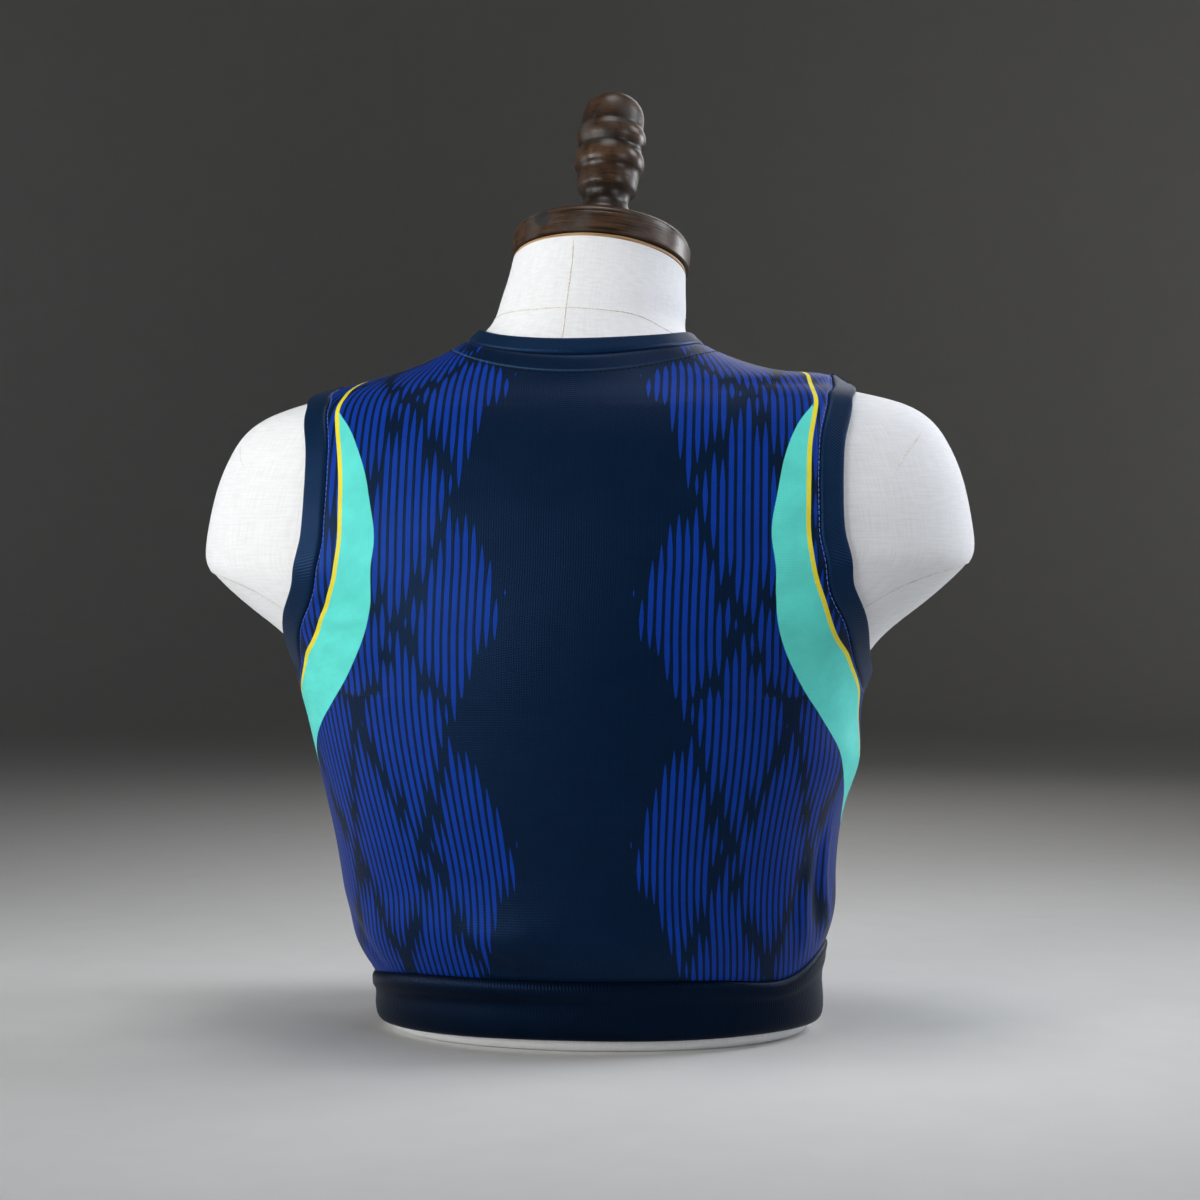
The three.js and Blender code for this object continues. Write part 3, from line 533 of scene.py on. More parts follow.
printed = makePrintedJersey()
binding = makeBandJersey("bias_interlock", bindingJersey)
# the hem band's material has painted shade in its darker navy
shadedHemCloth = makeBandJersey("doubled_interlock_painted_shade", shadedHemJersey)
linen = makeLinen()
seamThread = makeThread("cotton_seam_thread", "#dcd8cf")
navyThread = makeThread("navy_polyester_thread", "#02050b")
blueThread = makeThread("blue_polyester_thread", "#5f7fd6")
# The last numbers are how often the grain repeats in a metre along x, y and z.
capWood = makeStainedBeech("stained_beech_disc", (25.0, 160.0, 260.0))
finialWood = makeStainedBeech("stained_beech_turning", (120.0, 120.0, 45.0))
plyWood = makeBarePly()
print("materials made")

# Dress form.

# The end seam of each shoulder stub: height of the seam by degrees round from the stub's tip.
stubSeam = {
    "turn": (0, 14, 20, 27, 31, 34.5, 38), "height": (254.6, 252.4, 250.4, 246.6, 242, 233, 222),
    "step": 0.9,  # mm that the upper cover stands proud of the lower
    "reach": 36,  # degrees
}


def stubSeamHeight(fromTip):
    curve = naturalCurve(stubSeam["turn"], stubSeam["height"])
    return curve(np.clip(np.abs(fromTip), 0, 38))


def fromTip(turn):
    # degrees from the nearest shoulder stub's tip
    degrees = np.degrees(turn) % 360
    return np.minimum(np.minimum(degrees, 360 - degrees), np.abs(degrees - 180))


def coverLift(height, turn):
    # the upper cover laps over the lower one at the stub's end seam
    tip = fromTip(turn)
    above = height - stubSeamHeight(tip)
    near = 1 - smoothStep(tip, stubSeam["reach"] - 8, stubSeam["reach"])
    return -stubSeam["step"] * near * (1 - smoothStep(above, -0.8, 0.4)) * smoothStep(above, -26, -3)


# Rows of the mesh as (from, to, how many), the rounded foot as (ring, inset, height), and the radius
# that sets how wide the weave is all over.
linenForm = {
    "rows": ((5, 200, 62), (202, 232, 18), (233, 262, 40), (264, 345, 44), (346.5, 418, 52)),
    "foot": ((0, 4, 0), (0.4, 2.6, 0.4), (1.2, 1.3, 1.3), (3, 0.3, 3)),
    "columns": 336, "weaveRadius": 150,
}


def makeForm():
    look = linenForm
    heights = np.concatenate([np.linspace(*rows) for rows in look["rows"]])
    turns = np.arange(look["columns"]) * 2 * math.pi / look["columns"]
    body = liftedPoint(heights[:, None], turns, coverLift(heights[:, None], turns[None, :]))
    foot = []
    for height, inset, z in look["foot"]:
        edge = liftedPoint(np.full(len(turns), height), turns, np.full(len(turns), -inset))
        edge[:, 2] = z
        foot.append(edge)
    rings = np.concatenate([np.array(foot), body])
    lower = rings[0].mean(0) + (rings[0] - rings[0].mean(0)) * 0.5
    upper = rings[-1].mean(0) + (rings[-1] - rings[-1].mean(0)) * 0.5
    points, faces = cappedTube(np.concatenate([lower[None], rings, upper[None]]))
    high = np.concatenate([[0], np.zeros(len(foot)), heights, [420]])[:, None]
    # the weave runs straight up the form
    place = np.stack(np.broadcast_arrays(turns * look["weaveRadius"], high, 0.0), -1).reshape(-1, 3)
    place = np.concatenate([place, [[0, 0, 0], [0, 420, 0]]])
    piece = newPiece("linen_form", points, faces, linen, "linen", {"clothPlace": place}, sharp=50)
    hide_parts("form_body")


# Sewn lines on the form: (height, degrees round) points, and half the width of the ridge in mm.
formSeams = {
    "centreBack": {"line": (
        (417, 79), (401, 80.9), (387.7, 82.3), (372, 84.4), (340, 87), (200, 90), (30, 90)), "half": 0.4},
    "neckBase": {"line": (
        (386, 0), (385.4, 36), (384.3, 60), (384.2, 84), (383.8, 102), (383.5, 118), (381.7, 132),
        (379.4, 140), (375, 160), (372.5, 180), (370, 225), (371, 270), (380, 315), (386, 360)), "half": 0.34},
    "rightStub": {"line": (
        (222, 218), (233, 214.5), (242, 211), (246.6, 207), (250.4, 200), (254.6, 180), (250.4, 160),
        (246.6, 153), (242, 149), (233, 145.5), (222, 142)), "half": 0.3},
    "leftStub": {"line": (
        (222, 38), (233, 34.5), (242, 31), (246.6, 27), (250.4, 20), (254.6, 0), (250.4, -20),
        (246.6, -27), (242, -31), (233, -34.5), (222, -38)), "half": 0.2},
    "rightShoulder": {"line": (
        (254, 180), (300, 180), (330, 180), (346, 180), (366, 180), (374, 180)), "half": 0.36},
    "leftShoulder": {"line": ((254, 0), (300, 0), (330, 0), (346, 0), (366, 0), (384, 0)), "half": 0.36},
    "rightSlub": {"line": ((324, 159.3), (311.2, 148.2), (299.5, 141.9)), "half": 0.3},
    "leftSlub": {"line": ((324.8, 15.5), (317, 21.5), (309.3, 28.5)), "half": 0.16},
}


def makeFormSeams():
    parts = []
    for seam in formSeams.values():
        table = np.array(seam["line"], float)
        along = runAlong(np.hypot(np.diff(table[:, 0]), np.diff(table[:, 1]) * 2))
        s = np.linspace(0, along[-1], max(12, int(along[-1] / 2.5)))
        height = naturalCurve(along, table[:, 0])(s)
        turn = np.radians(naturalCurve(along, table[:, 1])(s))
        line = liftedPoint(height, turn, coverLift(height + 0.6, turn) + 0.02)
        ends = np.clip(np.minimum(s, along[-1] - s) / 6, 0.05, 1)
        parts.append(tube(line, formNormal(height, turn), seam["half"] * ends, seam["half"] * 0.7 * ends))
    newPiece("form_seams", *joined(parts), seamThread, "linen")


makeForm()
makeFormSeams()
print("form made")

# Neck plate, cap and finial.

# The woodwork stands square on the form's top ring.
neckLeft, neckBack, neckRight, neckFront = formPoint(418.0, np.arange(4) * math.pi / 2)
neckTop = (neckLeft + neckRight) / 2
neckAlong = unit(neckLeft - neckRight)
neckAxis = unit(np.cross(neckAlong, neckBack - neckFront))

# Profiles as (radius, height above the neck's top, how far the stain is rubbed off there).
neckPlate = {"profile": ((47.4, 0.3, 1), (48, 0.6, 1), (48, 2.1, 1), (47.4, 2.4, 1)), "sharp": 40}
neckCap = {"sharp": 28, "profile": (
    (48.6, 2.7, 0.3), (49.3, 2.9, 0.6), (49.75, 3.5, 0.9), (49.8, 4.2, 1), (49.8, 8, 0.85),
    (49.8, 12.6, 0.9), (49.8, 13.9, 1), (49.6, 14.3, 1.2), (48.9, 14.7, 0.2), (48.85, 15.3, 0.3),
    (48.8, 15.9, 0.9), (48.5, 16.9, 1), (47.8, 17.9, 0.9), (46.6, 18.9, 0.7), (44.9, 19.7, 0.55),
    (42.3, 20.5, 0.5), (39, 21.7, 0.5), (36.8, 22.7, 0.5), (33, 24.4, 0.5), (28.8, 25.9, 0.45),
    (23, 27.8, 0.4), (17.3, 29.2, 0.3))}
finial = {"sharp": 60, "profile": (
    (15, 29.6, 0.2), (16, 30.2, 0.4), (16.5, 31.2, 0.5), (16.5, 32.6, 0.5), (15.9, 34, 0.4), (14.5, 36, 0.2),
    (13.2, 38.2, 0.1), (12.65, 40.6, 0.05), (12.9, 43, 0.05), (13.7, 45.2, 0.15), (15.2, 46.7, 0.5),
    (16.3, 48, 0.8), (16.8, 50, 0.9), (17.1, 54, 0.7), (17.2, 57.6, 0.5), (17.8, 59.2, 0.4), (18.9, 60.9, 0.7),
    (19.6, 63, 1), (19.85, 65.2, 1), (19.6, 67.4, 0.9), (19, 69.4, 0.6), (18.1, 71, 0.3), (17.6, 72.2, 0.05),
    (17.55, 73.6, 0.05), (18.2, 75, 0.5), (19, 76.8, 0.9), (19.4, 78.6, 1), (19.5, 80.4, 1),
    (19.2, 82.4, 0.9), (18.5, 84.2, 0.7), (17.7, 85.6, 0.3), (17.45, 87, 0.15), (17.5, 90, 0.6),
    (17.4, 93.4, 0.9), (16.8, 96.4, 1), (15.6, 99.2, 0.9), (13.9, 101.6, 0.8), (11.6, 103.6, 0.8),
    (8.8, 105.3, 0.8), (6, 106.2, 0.7), (3, 106.7, 0.7), (0.8, 106.8, 0.7))}


turning = {"segments": 128, "grainRadius": 48}


def makeTurned(name, shape, material, node, slot):
    profile = np.array(shape["profile"], float)
    run = runAlong(np.hypot(np.diff(profile[:, 0]), np.diff(profile[:, 1])))
    profile = np.column_stack([profile, run])
    fine = [a + (b - a) * t for a, b in zip(profile, profile[1:]) for t in (0, 0.5)]
    fine = np.array(fine + [profile[-1]])
    angle = np.arange(turning["segments"]) * 2 * math.pi / turning["segments"]
    backward = np.cross(neckAxis, neckAlong)
    spoke = np.cos(angle)[:, None] * neckAlong + np.sin(angle)[:, None] * backward
    points, faces = cappedTube(neckTop + fine[:, None, :1] * spoke + fine[:, None, 1:2] * neckAxis)
    place = np.stack(np.broadcast_arrays(angle * turning["grainRadius"], fine[:, 3:4], fine[:, 2:3]), -1)
    place = np.concatenate([place.reshape(-1, 3), [[0, 0, 0.3], [0, run[-1], 0.5]]])
    piece = newPiece(name, points, faces, material, slot, {"turnedPlace": place}, sharp=shape["sharp"])
    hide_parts(node)


makeTurned("plywood_neck_plate", neckPlate, plyWood, "neck_plate", "pale_wood")
makeTurned("stained_neck_cap", neckCap, capWood, "neck_cap", "stained_wood")
makeTurned("turned_finial", finial, finialWood, "finial", "stained_wood")
print("woodwork made")

# Seam lines of the top.

# Heights of the hem seam, underarm, ridge of the shoulder and shoulder seam's upper end; half the gap
# left at a seam; the mean radius of the form there; and mm across the cloth for each degree round it.
garment = {
    "hemTop": 39.4, "underarm": 187.5, "ridge": 351.2, "shoulderTop": 375.0, "seamGap": 0.05,
    "radius": 124, "mmPerDegree": 2.4, "tiltEnds": 125,  # up to here the rows follow the hem's tilt
}
backArmhole = [  # degrees round from the side seam, height
    (0, 187.5), (8, 189.5), (16, 197.5), (26, 211), (37.5, 226.5), (46, 238), (51.4, 250), (54.1, 265),
    (54.1, 281), (53.2, 298), (51.7, 311.5), (49.4, 324), (46.1, 333), (41.3, 340), (32.3, 345.2),
    (17.6, 349.2), (0, 351.2)]
frontArmhole = [
    (0, 187.5), (9, 189.5), (17.5, 197.5), (28, 211), (40, 226.5), (49.5, 238), (56, 250), (59.5, 265),
    (60, 281), (59, 298), (57.3, 311.5), (54.5, 324), (50.6, 333), (44.8, 340), (34.8, 345.4),
    (19.1, 349.6), (0, 351.2)]


def alongTable(table):
    # mm along a line of (degrees, height) points
    wide = np.diff(table[:, 0]) * garment["mmPerDegree"]
    return runAlong(np.hypot(wide, np.diff(table[:, 1])))


def smoothLoop(table):
    # a closed smooth line through (degrees, height) points; returns its length and the line itself
    wrapped = np.array(table[-3:] + table + table[:4], float)
    along = alongTable(wrapped)
    along -= along[3]
    turn, height = naturalCurve(along, wrapped[:, 0]), naturalCurve(along, wrapped[:, 1])
    return along[3 + len(table)], along[3:3 + len(table)], lambda s: (turn(s), height(s))


loopTable = backArmhole[:-1] + [(-turn, height) for turn, height in frontArmhole[:0:-1]]
armholeLength, armholeMarks, armholeLine = smoothLoop(loopTable)
ridgeMark = armholeMarks[len(backArmhole) - 1]

backPanel = {
    "facing": 1, "neckDrop": 10.6, "dropFrom": 280, "marks": (0, ridgeMark),
    "scoop": ((0, 0), (0.06, 0.03), (0.125, 0.14), (0.25, 0.5), (0.375, 0.85), (0.4375, 0.962),
              (0.48, 0.996), (0.5, 1))}
frontPanel = {
    "facing": -1, "neckDrop": 73.6, "dropFrom": 90, "marks": (armholeLength, ridgeMark),
    "scoop": ((0, 0), (0.08, 0.01), (0.147, 0.039), (0.214, 0.091), (0.276, 0.169), (0.342, 0.3),
              (0.384, 0.455), (0.404, 0.62), (0.419, 0.78), (0.4405, 0.92), (0.469, 0.99), (0.5, 1))}
for panel in (backPanel, frontPanel):
    panel["scoopShare"] = naturalCurve(*zip(*panel["scoop"]))


def rowHeight(panel, start, across):
    # height of a row that would start at one height, at one place across the form
    near = np.minimum(across, 1 - across)
    below = np.maximum(0, garment["ridge"] - start)
    # rows are crowded at the armhole's top, and spread out again further in
    level = start - 1.7 * below * np.exp(-below / 6) * smoothStep(near, 0.08, 0.26)
    share = np.maximum(0, (level - panel["dropFrom"]) / (garment["shoulderTop"] - panel["dropFrom"]))
    share = share**2 * (3 - 2 * share) / 2 + share / 2
    return level - panel["neckDrop"] * share * panel["scoopShare"](near)


def rowPlaces(panel, edgeTurn, edgeHeight, columns):
    # turn and height of every point of some rows
    margin = (np.radians(edgeTurn) + garment["seamGap"] / garment["radius"])[:, None]
    edgeHeight = edgeHeight[:, None]
    start = edgeHeight.copy()
    for _ in range(30):
        start += 0.5 * (edgeHeight - rowHeight(panel, start, margin / math.pi))
    turn = margin + (math.pi - 2 * margin) * columns
    height = rowHeight(panel, start, turn / math.pi)
    height = height + hemTilt(turn) * (1 - smoothStep(height, garment["hemTop"], garment["tiltEnds"]))
    return height, panel["facing"] * turn


# Thickness of the cloth in its middle and at a seam, how far it rolls down to a seam, and its mesh.
panelCloth = {
    "thick": 1.2, "seamThick": 0.35, "seamRoll": 1.5,
    "columns": 232, "evenness": 0.68, "sideRows": 66, "armRows": 92, "strapRows": 22,
}


def columnPlaces(panel):
    # even columns, but closer together where the neckline is steep
    fine = np.linspace(0, 1, 601)
    height, turn = rowPlaces(panel, np.zeros(1), np.array([garment["shoulderTop"]]), fine)
    run = runAlong(np.linalg.norm(np.diff(formPoint(height[0], turn[0]), axis=0), axis=1))
    evenness = panelCloth["evenness"]
    measure = evenness * fine + (1 - evenness) * run / run[-1]
    # small steps beside each seam, in mm of about 400 mm of cloth
    close = np.array([0, 0.3, 0.7, 1.2, 1.9, 2.8, 4]) / 400
    between = np.linspace(close[-1], 1 - close[-1], panelCloth["columns"] - 2 * len(close) + 2)[1:-1]
    return np.interp(np.concatenate([close, between, 1 - close[::-1]]), measure, fine)


def panelEdge(panel):
    # rows go up the side seam, round the armhole and up the shoulder seam
    look = panelCloth
    first, last = panel["marks"]
    low, top = garment["hemTop"] + 0.1, garment["shoulderTop"]
    side = np.concatenate([
        low + np.array([0, 0.3, 0.7, 1.3, 2, 3]),
        np.linspace(low + 4.2, garment["underarm"], look["sideRows"])[:-1]])
    fine = np.linspace(first, last, 900)
    rise = np.maximum.accumulate(armholeLine(fine)[1])
    measure = 0.5 * np.abs(fine - first) / abs(last - first) + 0.5 * (rise - rise[0]) / (rise[-1] - rise[0])
    armTurn, armHeight = armholeLine(np.interp(np.linspace(0, 1, look["armRows"]), measure, fine))
    armTurn = np.abs(armTurn)
    armTurn[[0, -1]] = 0
    highest = garment["ridge"] - 0.05 * np.arange(look["armRows"])[::-1]  # rows never cross
    strap = np.concatenate([
        np.linspace(garment["ridge"], top - 3.4, look["strapRows"] - 5)[1:],
        top - np.array([2.4, 1.6, 1, 0.5, 0.2, 0])])
    edgeTurn = np.concatenate([0 * side, armTurn, 0 * strap])
    return edgeTurn, np.concatenate([side, np.minimum(armHeight, highest), strap])


def nearest(points, line):
    # distance from each point to a line of points
    flat = points.reshape(-1, 3)
    best = np.full(len(flat), 1e9)
    a, d = line[:-1], np.diff(line, axis=0)
    size = np.maximum((d**2).sum(1), 1e-9)
    for i in range(0, len(flat), 2000):  # in blocks, to spare memory
        away = flat[i:i + 2000, None] - a
        t = np.clip((away * d).sum(2) / size, 0, 1)
        best[i:i + 2000] = np.sqrt(((away - t[..., None] * d) ** 2).sum(2).min(1))
    return best.reshape(points.shape[:-1])


def insidePolygon(x, y, corners):
    inside = np.zeros(x.shape, bool)
    for (x1, y1), (x2, y2) in zip(corners, np.roll(corners, -1, 0)):
        crosses = (y1 > y) != (y2 > y)
        inside ^= crosses & (x < (x2 - x1) * (y - y1) / (y2 - y1 + 1e-12) + x1)
    return inside


# The colour blocks, as (degrees round from the side seam, height). The yellow line runs from the
# shoulder round the armhole and down to the side; the teal lies between it and its own edge.
colourBlocks = {
    "yellow": (
        (0, 356.2), (18, 353), (34.5, 347.3), (43.9, 340.8), (49, 332.5), (53.3, 316.5), (55.6, 299),
        (56.6, 284), (57, 270), (56, 256), (51.3, 242), (43.9, 228.5), (35.5, 217), (28.9, 210),
        (22.5, 201.2), (14.6, 190.8), (10.4, 184), (7.6, 176.2), (3, 165), (0, 154)),
    "teal": (
        (47, 337.5), (53.1, 328.5), (56.7, 318), (59.5, 305), (61.5, 289), (62.7, 275), (62.6, 262),
        (60.7, 248), (56, 231), (50, 216), (45.2, 205), (39, 190.5), (31.4, 177), (24.3, 166), (18, 155),
        (12.4, 141), (7, 131), (2, 121), (-2, 114)),
    "tealFrom": 334,  # the teal starts below this height on the yellow line
    "past": 2,  # degrees that the teal is drawn on past the side seam
    "frontScale": 1.11,  # the front armhole is cut deeper
    "twist": (  # the top is worn a little askew: at each height, degrees to the right
        (114, 150, 163, 180, 195, 216, 237, 258, 300, 320, 345),
        (-3.4, -3.2, -1.8, 0, 0.6, 1.05, 1.1, 0.65, 0.5, 0.2, 0)),
}


def smoothOpen(table):
    # a smooth line through (degrees, height) points, a point every 2 mm
    table = np.array(table, float)
    along = alongTable(table)
    s = np.linspace(0, along[-1], int(along[-1] / 2))
    return np.stack([naturalCurve(along, table[:, 0])(s), naturalCurve(along, table[:, 1])(s)], -1)


def blockPlaces(panel, height, turn, points):
    # signed distance into the teal, and across the yellow line
    look = colourBlocks
    scale = look["frontScale"] if panel["facing"] < 0 else 1
    teal, yellow = np.full(height.shape, -99.0), np.full(height.shape, 99.0)
    isLeft = np.cos(turn) > 0
    for side in (True, False):
        here = isLeft == side
        degrees = np.degrees(np.abs(turn[here]))
        degrees = degrees if side else 180 - degrees
        lines = {}
        for name in ("yellow", "teal"):
            line = smoothOpen(look[name])
            askew = np.interp(line[:, 1], *look["twist"])
            line[:, 0] = (line[:, 0] + (askew if side else -askew)) * scale
            lines[name] = line
        corner = [[-look["past"], look["yellow"][-1][1]], [-look["past"], look["teal"][-1][1]]]
        start = lines["yellow"][lines["yellow"][:, 1] < look["tealFrom"]]
        outline = np.concatenate([start, corner, lines["teal"][::-1]])
        sign = np.where(insidePolygon(degrees, height[here], outline), 1, -1)
        solid = {}
        for name, line in lines.items():
            at = np.radians(line[:, 0] if side else 180 - line[:, 0]) * panel["facing"]
            solid[name] = liftedPoint(line[:, 1], at, clothLift(line[:, 1], at) + 1.2)
        toYellow = nearest(points[here], solid["yellow"])
        ends = lines["yellow"][[0, -1]] - [8, 0]  # well past the side seam
        outline = np.concatenate([ends[:1], lines["yellow"], ends[1:]])
        armholeSide = insidePolygon(degrees, height[here], outline)
        teal[here] = sign * np.minimum(toYellow, nearest(points[here], solid["teal"]))
        yellow[here] = np.where(armholeSide, -1, 1) * toYellow
    return teal, yellow


# Creases.

# Soft folds of each panel, as (mm to the wearer's left of the centre, height) points: how far they
# stand out (or in, if below 0), and how wide they are, in mm.
backCreases = [
    {"line": ((140, 238), (124, 235), (104, 236)), "out": -0.9, "wide": 4.5},
    {"line": ((140, 231), (124, 229), (106, 230)), "out": 0.7, "wide": 4},
    {"line": ((141, 224), (124, 222), (102, 226)), "out": -0.8, "wide": 5},
    {"line": ((138, 208), (118, 207), (92, 214)), "out": 0.5, "wide": 7},
    {"line": ((-136, 205), (-116, 205), (-90, 214)), "out": 0.5, "wide": 7},
    {"line": ((148, 66), (132, 54), (118, 36)), "out": -1.3, "wide": 5},
    {"line": ((160, 62), (146, 48), (136, 32)), "out": 0.9, "wide": 5},
    {"line": ((122, 92), (98, 82), (70, 92)), "out": -0.8, "wide": 9},
    {"line": ((64, 64), (40, 60), (18, 66)), "out": 1.5, "wide": 9},
    {"line": ((84, 106), (52, 96), (16, 104)), "out": -0.7, "wide": 12},
    {"line": ((46, 54), (38, 48), (34, 41)), "out": -1.1, "wide": 6},
    {"line": ((-12, 60), (-34, 58), (-60, 62)), "out": 0.6, "wide": 10},
    {"line": ((-160, 118), (-150, 88), (-150, 58)), "out": 1.7, "wide": 4.5},
    {"line": ((-150, 112), (-141, 84), (-139, 54)), "out": -1.4, "wide": 4.5},
    {"line": ((-140, 100), (-131, 78), (-128, 52)), "out": 1.3, "wide": 4.5},
    {"line": ((-130, 92), (-122, 70), (-118, 48)), "out": -0.8, "wide": 5},
    {"line": ((92, 150), (80, 126), (84, 98)), "out": -0.5, "wide": 14},
    {"line": ((96, 338), (74, 306), (62, 268)), "out": 0.3, "wide": 14},
    {"line": ((-104, 336), (-84, 308), (-70, 270)), "out": 0.4, "wide": 12},
]
frontCreases = [
    {"line": ((130, 222), (108, 226), (84, 238)), "out": -1.0, "wide": 6},
    {"line": ((134, 206), (108, 210), (78, 220)), "out": 0.9, "wide": 7},
    {"line": ((-130, 220), (-106, 224), (-80, 236)), "out": -0.9, "wide": 6},
    {"line": ((-136, 204), (-108, 208), (-80, 216)), "out": 0.8, "wide": 7},
    {"line": ((84, 150), (66, 110), (58, 60)), "out": 0.9, "wide": 14},
    {"line": ((-80, 156), (-62, 112), (-52, 58)), "out": 0.8, "wide": 15},
    {"line": ((30, 150), (22, 100), (26, 56)), "out": -0.8, "wide": 15},
    {"line": ((-24, 140), (-18, 96), (-22, 54)), "out": -0.7, "wide": 16},
    {"line": ((152, 74), (130, 56), (112, 38)), "out": -1.2, "wide": 6},
    {"line": ((-150, 92), (-130, 74), (-112, 52)), "out": 1.2, "wide": 6},
    {"line": ((56, 64), (16, 58), (-30, 62)), "out": 1.2, "wide": 9},
    {"line": ((70, 320), (56, 290), (48, 262)), "out": 0.6, "wide": 9},
    {"line": ((-72, 322), (-58, 292), (-52, 260)), "out": 0.6, "wide": 9},
]


def creaseLift(across, height, creases, steps=24):
    lift = np.zeros(across.shape)
    for crease in creases:
        a, b, c = (np.array(p, float) for p in crease["line"])
        # a smooth curve through the three points
        t = np.linspace(0, 1, steps + 1)[:, None]
        line = (1 - t) ** 2 * a + 2 * t * (1 - t) * (2 * b - (a + c) / 2) + t**2 * c
        low, high = line.min(0) - 3 * crease["wide"], line.max(0) + 3 * crease["wide"]
        near = (across > low[0]) & (across < high[0]) & (height > low[1]) & (height < high[1])
        if not near.any():
            continue
        gap = np.hypot(across[near][:, None] - line[:, 0], height[near][:, None] - line[:, 1])
        share = gap.argmin(1) / steps
        taper = np.sin(np.pi * (share * 0.94 + 0.03)) ** 0.7  # nearly nothing at either end
        lift[near] += crease["out"] * taper * np.exp(-((gap.min(1) / crease["wide"]) ** 2))
    return lift


# Body panels.


def drape(across, height, turn, creases):
    # everything that makes the hanging cloth uneven, in mm out from its plain shape
    over = np.maximum(0, height - garment["hemTop"] - hemTilt(turn))
    wave = 0.5 + 0.5 * np.sin(across * 0.05 + 0.3) * np.cos(across * 0.019 - 0.5)
    rightSide = np.maximum(0, -np.cos(turn)) ** 3
    # the cloth bellies out above the hem seam, less so on the right, and sinks in above that
    roll = bump(over, 21, 15) * (1 - bump(over, 0, 5)) * (2.2 + 1.6 * wave - 2.2 * rightSide)
    hollow = -bump(height, 101, 17) * (0.55 + 0.45 * np.cos(across * 0.022))
    # long, slow waves that die out at the hem and the shoulders
    slow = 0.4 * np.sin(across * 0.035 + height * 0.012) * np.sin(height * 0.028 + 0.8)
    slow = slow * smoothStep(height, 40, 90) * (1 - smoothStep(height, 250, 330))
    return roll + hollow + slow + creaseLift(across, height, creases)


def makePanel(name, panel, creases, node):
    columns = columnPlaces(panel)
    height, turn = rowPlaces(panel, *panelEdge(panel), columns)
    plainLift = clothLift(height, turn)
    bare = formPoint(height, turn)
    # distance across from the centre line and up from the hem, along the cloth
    step = np.hypot(np.diff(bare[..., 0], axis=1), np.diff(bare[..., 1], axis=1))
    run = np.concatenate([np.zeros((len(height), 1)), np.cumsum(step, 1)], 1)
    centre = np.array([np.interp(math.pi / 2, np.abs(turn[i]), run[i]) for i in range(len(height))])
    across = centre[:, None] - run
    rise = np.linalg.norm(np.diff(bare, axis=0), axis=2)
    up = np.concatenate([np.zeros((1, len(columns))), np.cumsum(rise, 0)])
    gather = 1 + 0.2 * (1 - smoothStep(height, 50, 190))  # the print draws in towards the waist
    points = liftedPoint(height, turn, plainLift + panelCloth["thick"])
    outline = np.concatenate([points[0], points[:, -1], points[-1, ::-1], points[::-1, 0]])
    seamAway = nearest(points, outline[::2])
    roll = 1 - np.exp(-((seamAway / panelCloth["seamRoll"]) ** 2))
    thick = panelCloth["seamThick"] + (panelCloth["thick"] - panelCloth["seamThick"]) * roll
    fold = drape(across, height, turn, creases) * (1 - np.exp(-((seamAway / 4) ** 2)))
    lift = np.maximum(plainLift + fold, 0.35)  # never nearer the form than this
    inner, outer = liftedPoint(height, turn, lift), liftedPoint(height, turn, lift + thick)
    teal, yellow = blockPlaces(panel, height, turn, points)
    printPlace = np.stack([(across + 3) * gather, up, nearest(points, points[-1])], -1).reshape(-1, 3)
    blockPlace = np.stack([teal, yellow, 0 * teal], -1).reshape(-1, 3)
    rows, count = height.shape
    places = {"printPlace": np.tile(printPlace, (2, 1)), "blockPlace": np.tile(blockPlace, (2, 1))}
    points = np.concatenate([outer.reshape(-1, 3), inner.reshape(-1, 3)])
    piece = newPiece(name, points, shellFaces(rows, count), printed, "printed_jersey", places)
    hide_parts(node)


makePanel("back_panel_jersey", backPanel, backCreases, "back_panel")
makePanel("front_panel_jersey", frontPanel, frontCreases, "front_panel")
print("body panels made")

# Bands.


def stepsAlongSkin(height, turn, distances):
    # steps square to a closed line over the form, to each of several distances, in order
    points = formPoint(height, turn)
    along = unit(np.roll(points, -1, 0) - np.roll(points, 1, 0))
    heading = np.cross(formNormal(height, turn), along)
    places, now = {}, 0.0
    nowHeight, nowTurn = height.copy(), turn.copy()
    for distance in sorted(set(distances), key=abs):
        steps = max(1, math.ceil(abs(distance - now) / 1.5))
        for _ in range(steps if distance != now else 0):
            alongTurn, alongHeight = formSlopes(nowHeight, nowTurn)
            normal = unit(np.cross(alongTurn, alongHeight))
            flatHeading = unit(heading - normal * (heading * normal).sum(1, keepdims=True))
            step = flatHeading * (distance - now) / steps
            tt, hh, th = ((p * q).sum(1) for p, q in (
                (alongTurn, alongTurn), (alongHeight, alongHeight), (alongTurn, alongHeight)))
            st, sh, scale = (step * alongTurn).sum(1), (step * alongHeight).sum(1), tt * hh - th * th
            nowTurn = nowTurn + (st * hh - sh * th) / scale
            nowHeight = nowHeight + (sh * tt - st * th) / scale
        now = distance
        places[distance] = (nowHeight.copy(), nowTurn.copy())
    return places


def bandSection(look):
    # a folded band seen end on: (across, above its bed) from the seam, out to the fold and back
    width, thick, stand, gap = look["width"], look["thick"], look["stand"], 0.08
    bend = thick / 2
    under = [(gap, 0.0), (width * 0.25, 0.0), (width * 0.5, stand * 0.2), (width * 0.75, stand * 0.55),
             (width - bend, stand)]
    fold = [(width - bend + bend * math.sin(a), stand + bend - bend * math.cos(a))
            for a in np.linspace(0, math.pi, 7)[1:-1]]
    over = [(width - bend, stand + thick), (width * 0.75, stand * 0.6 + thick),
            (width * 0.5, stand * 0.2 + thick), (width * 0.28, thick)]
    sewnEdge = [(2.2, thick * 0.98), (1.4, thick * 0.9), (0.8, thick * 0.74), (0.35, thick * 0.5),
                (gap, thick * 0.28)]
    return under + fold + over + sewnEdge


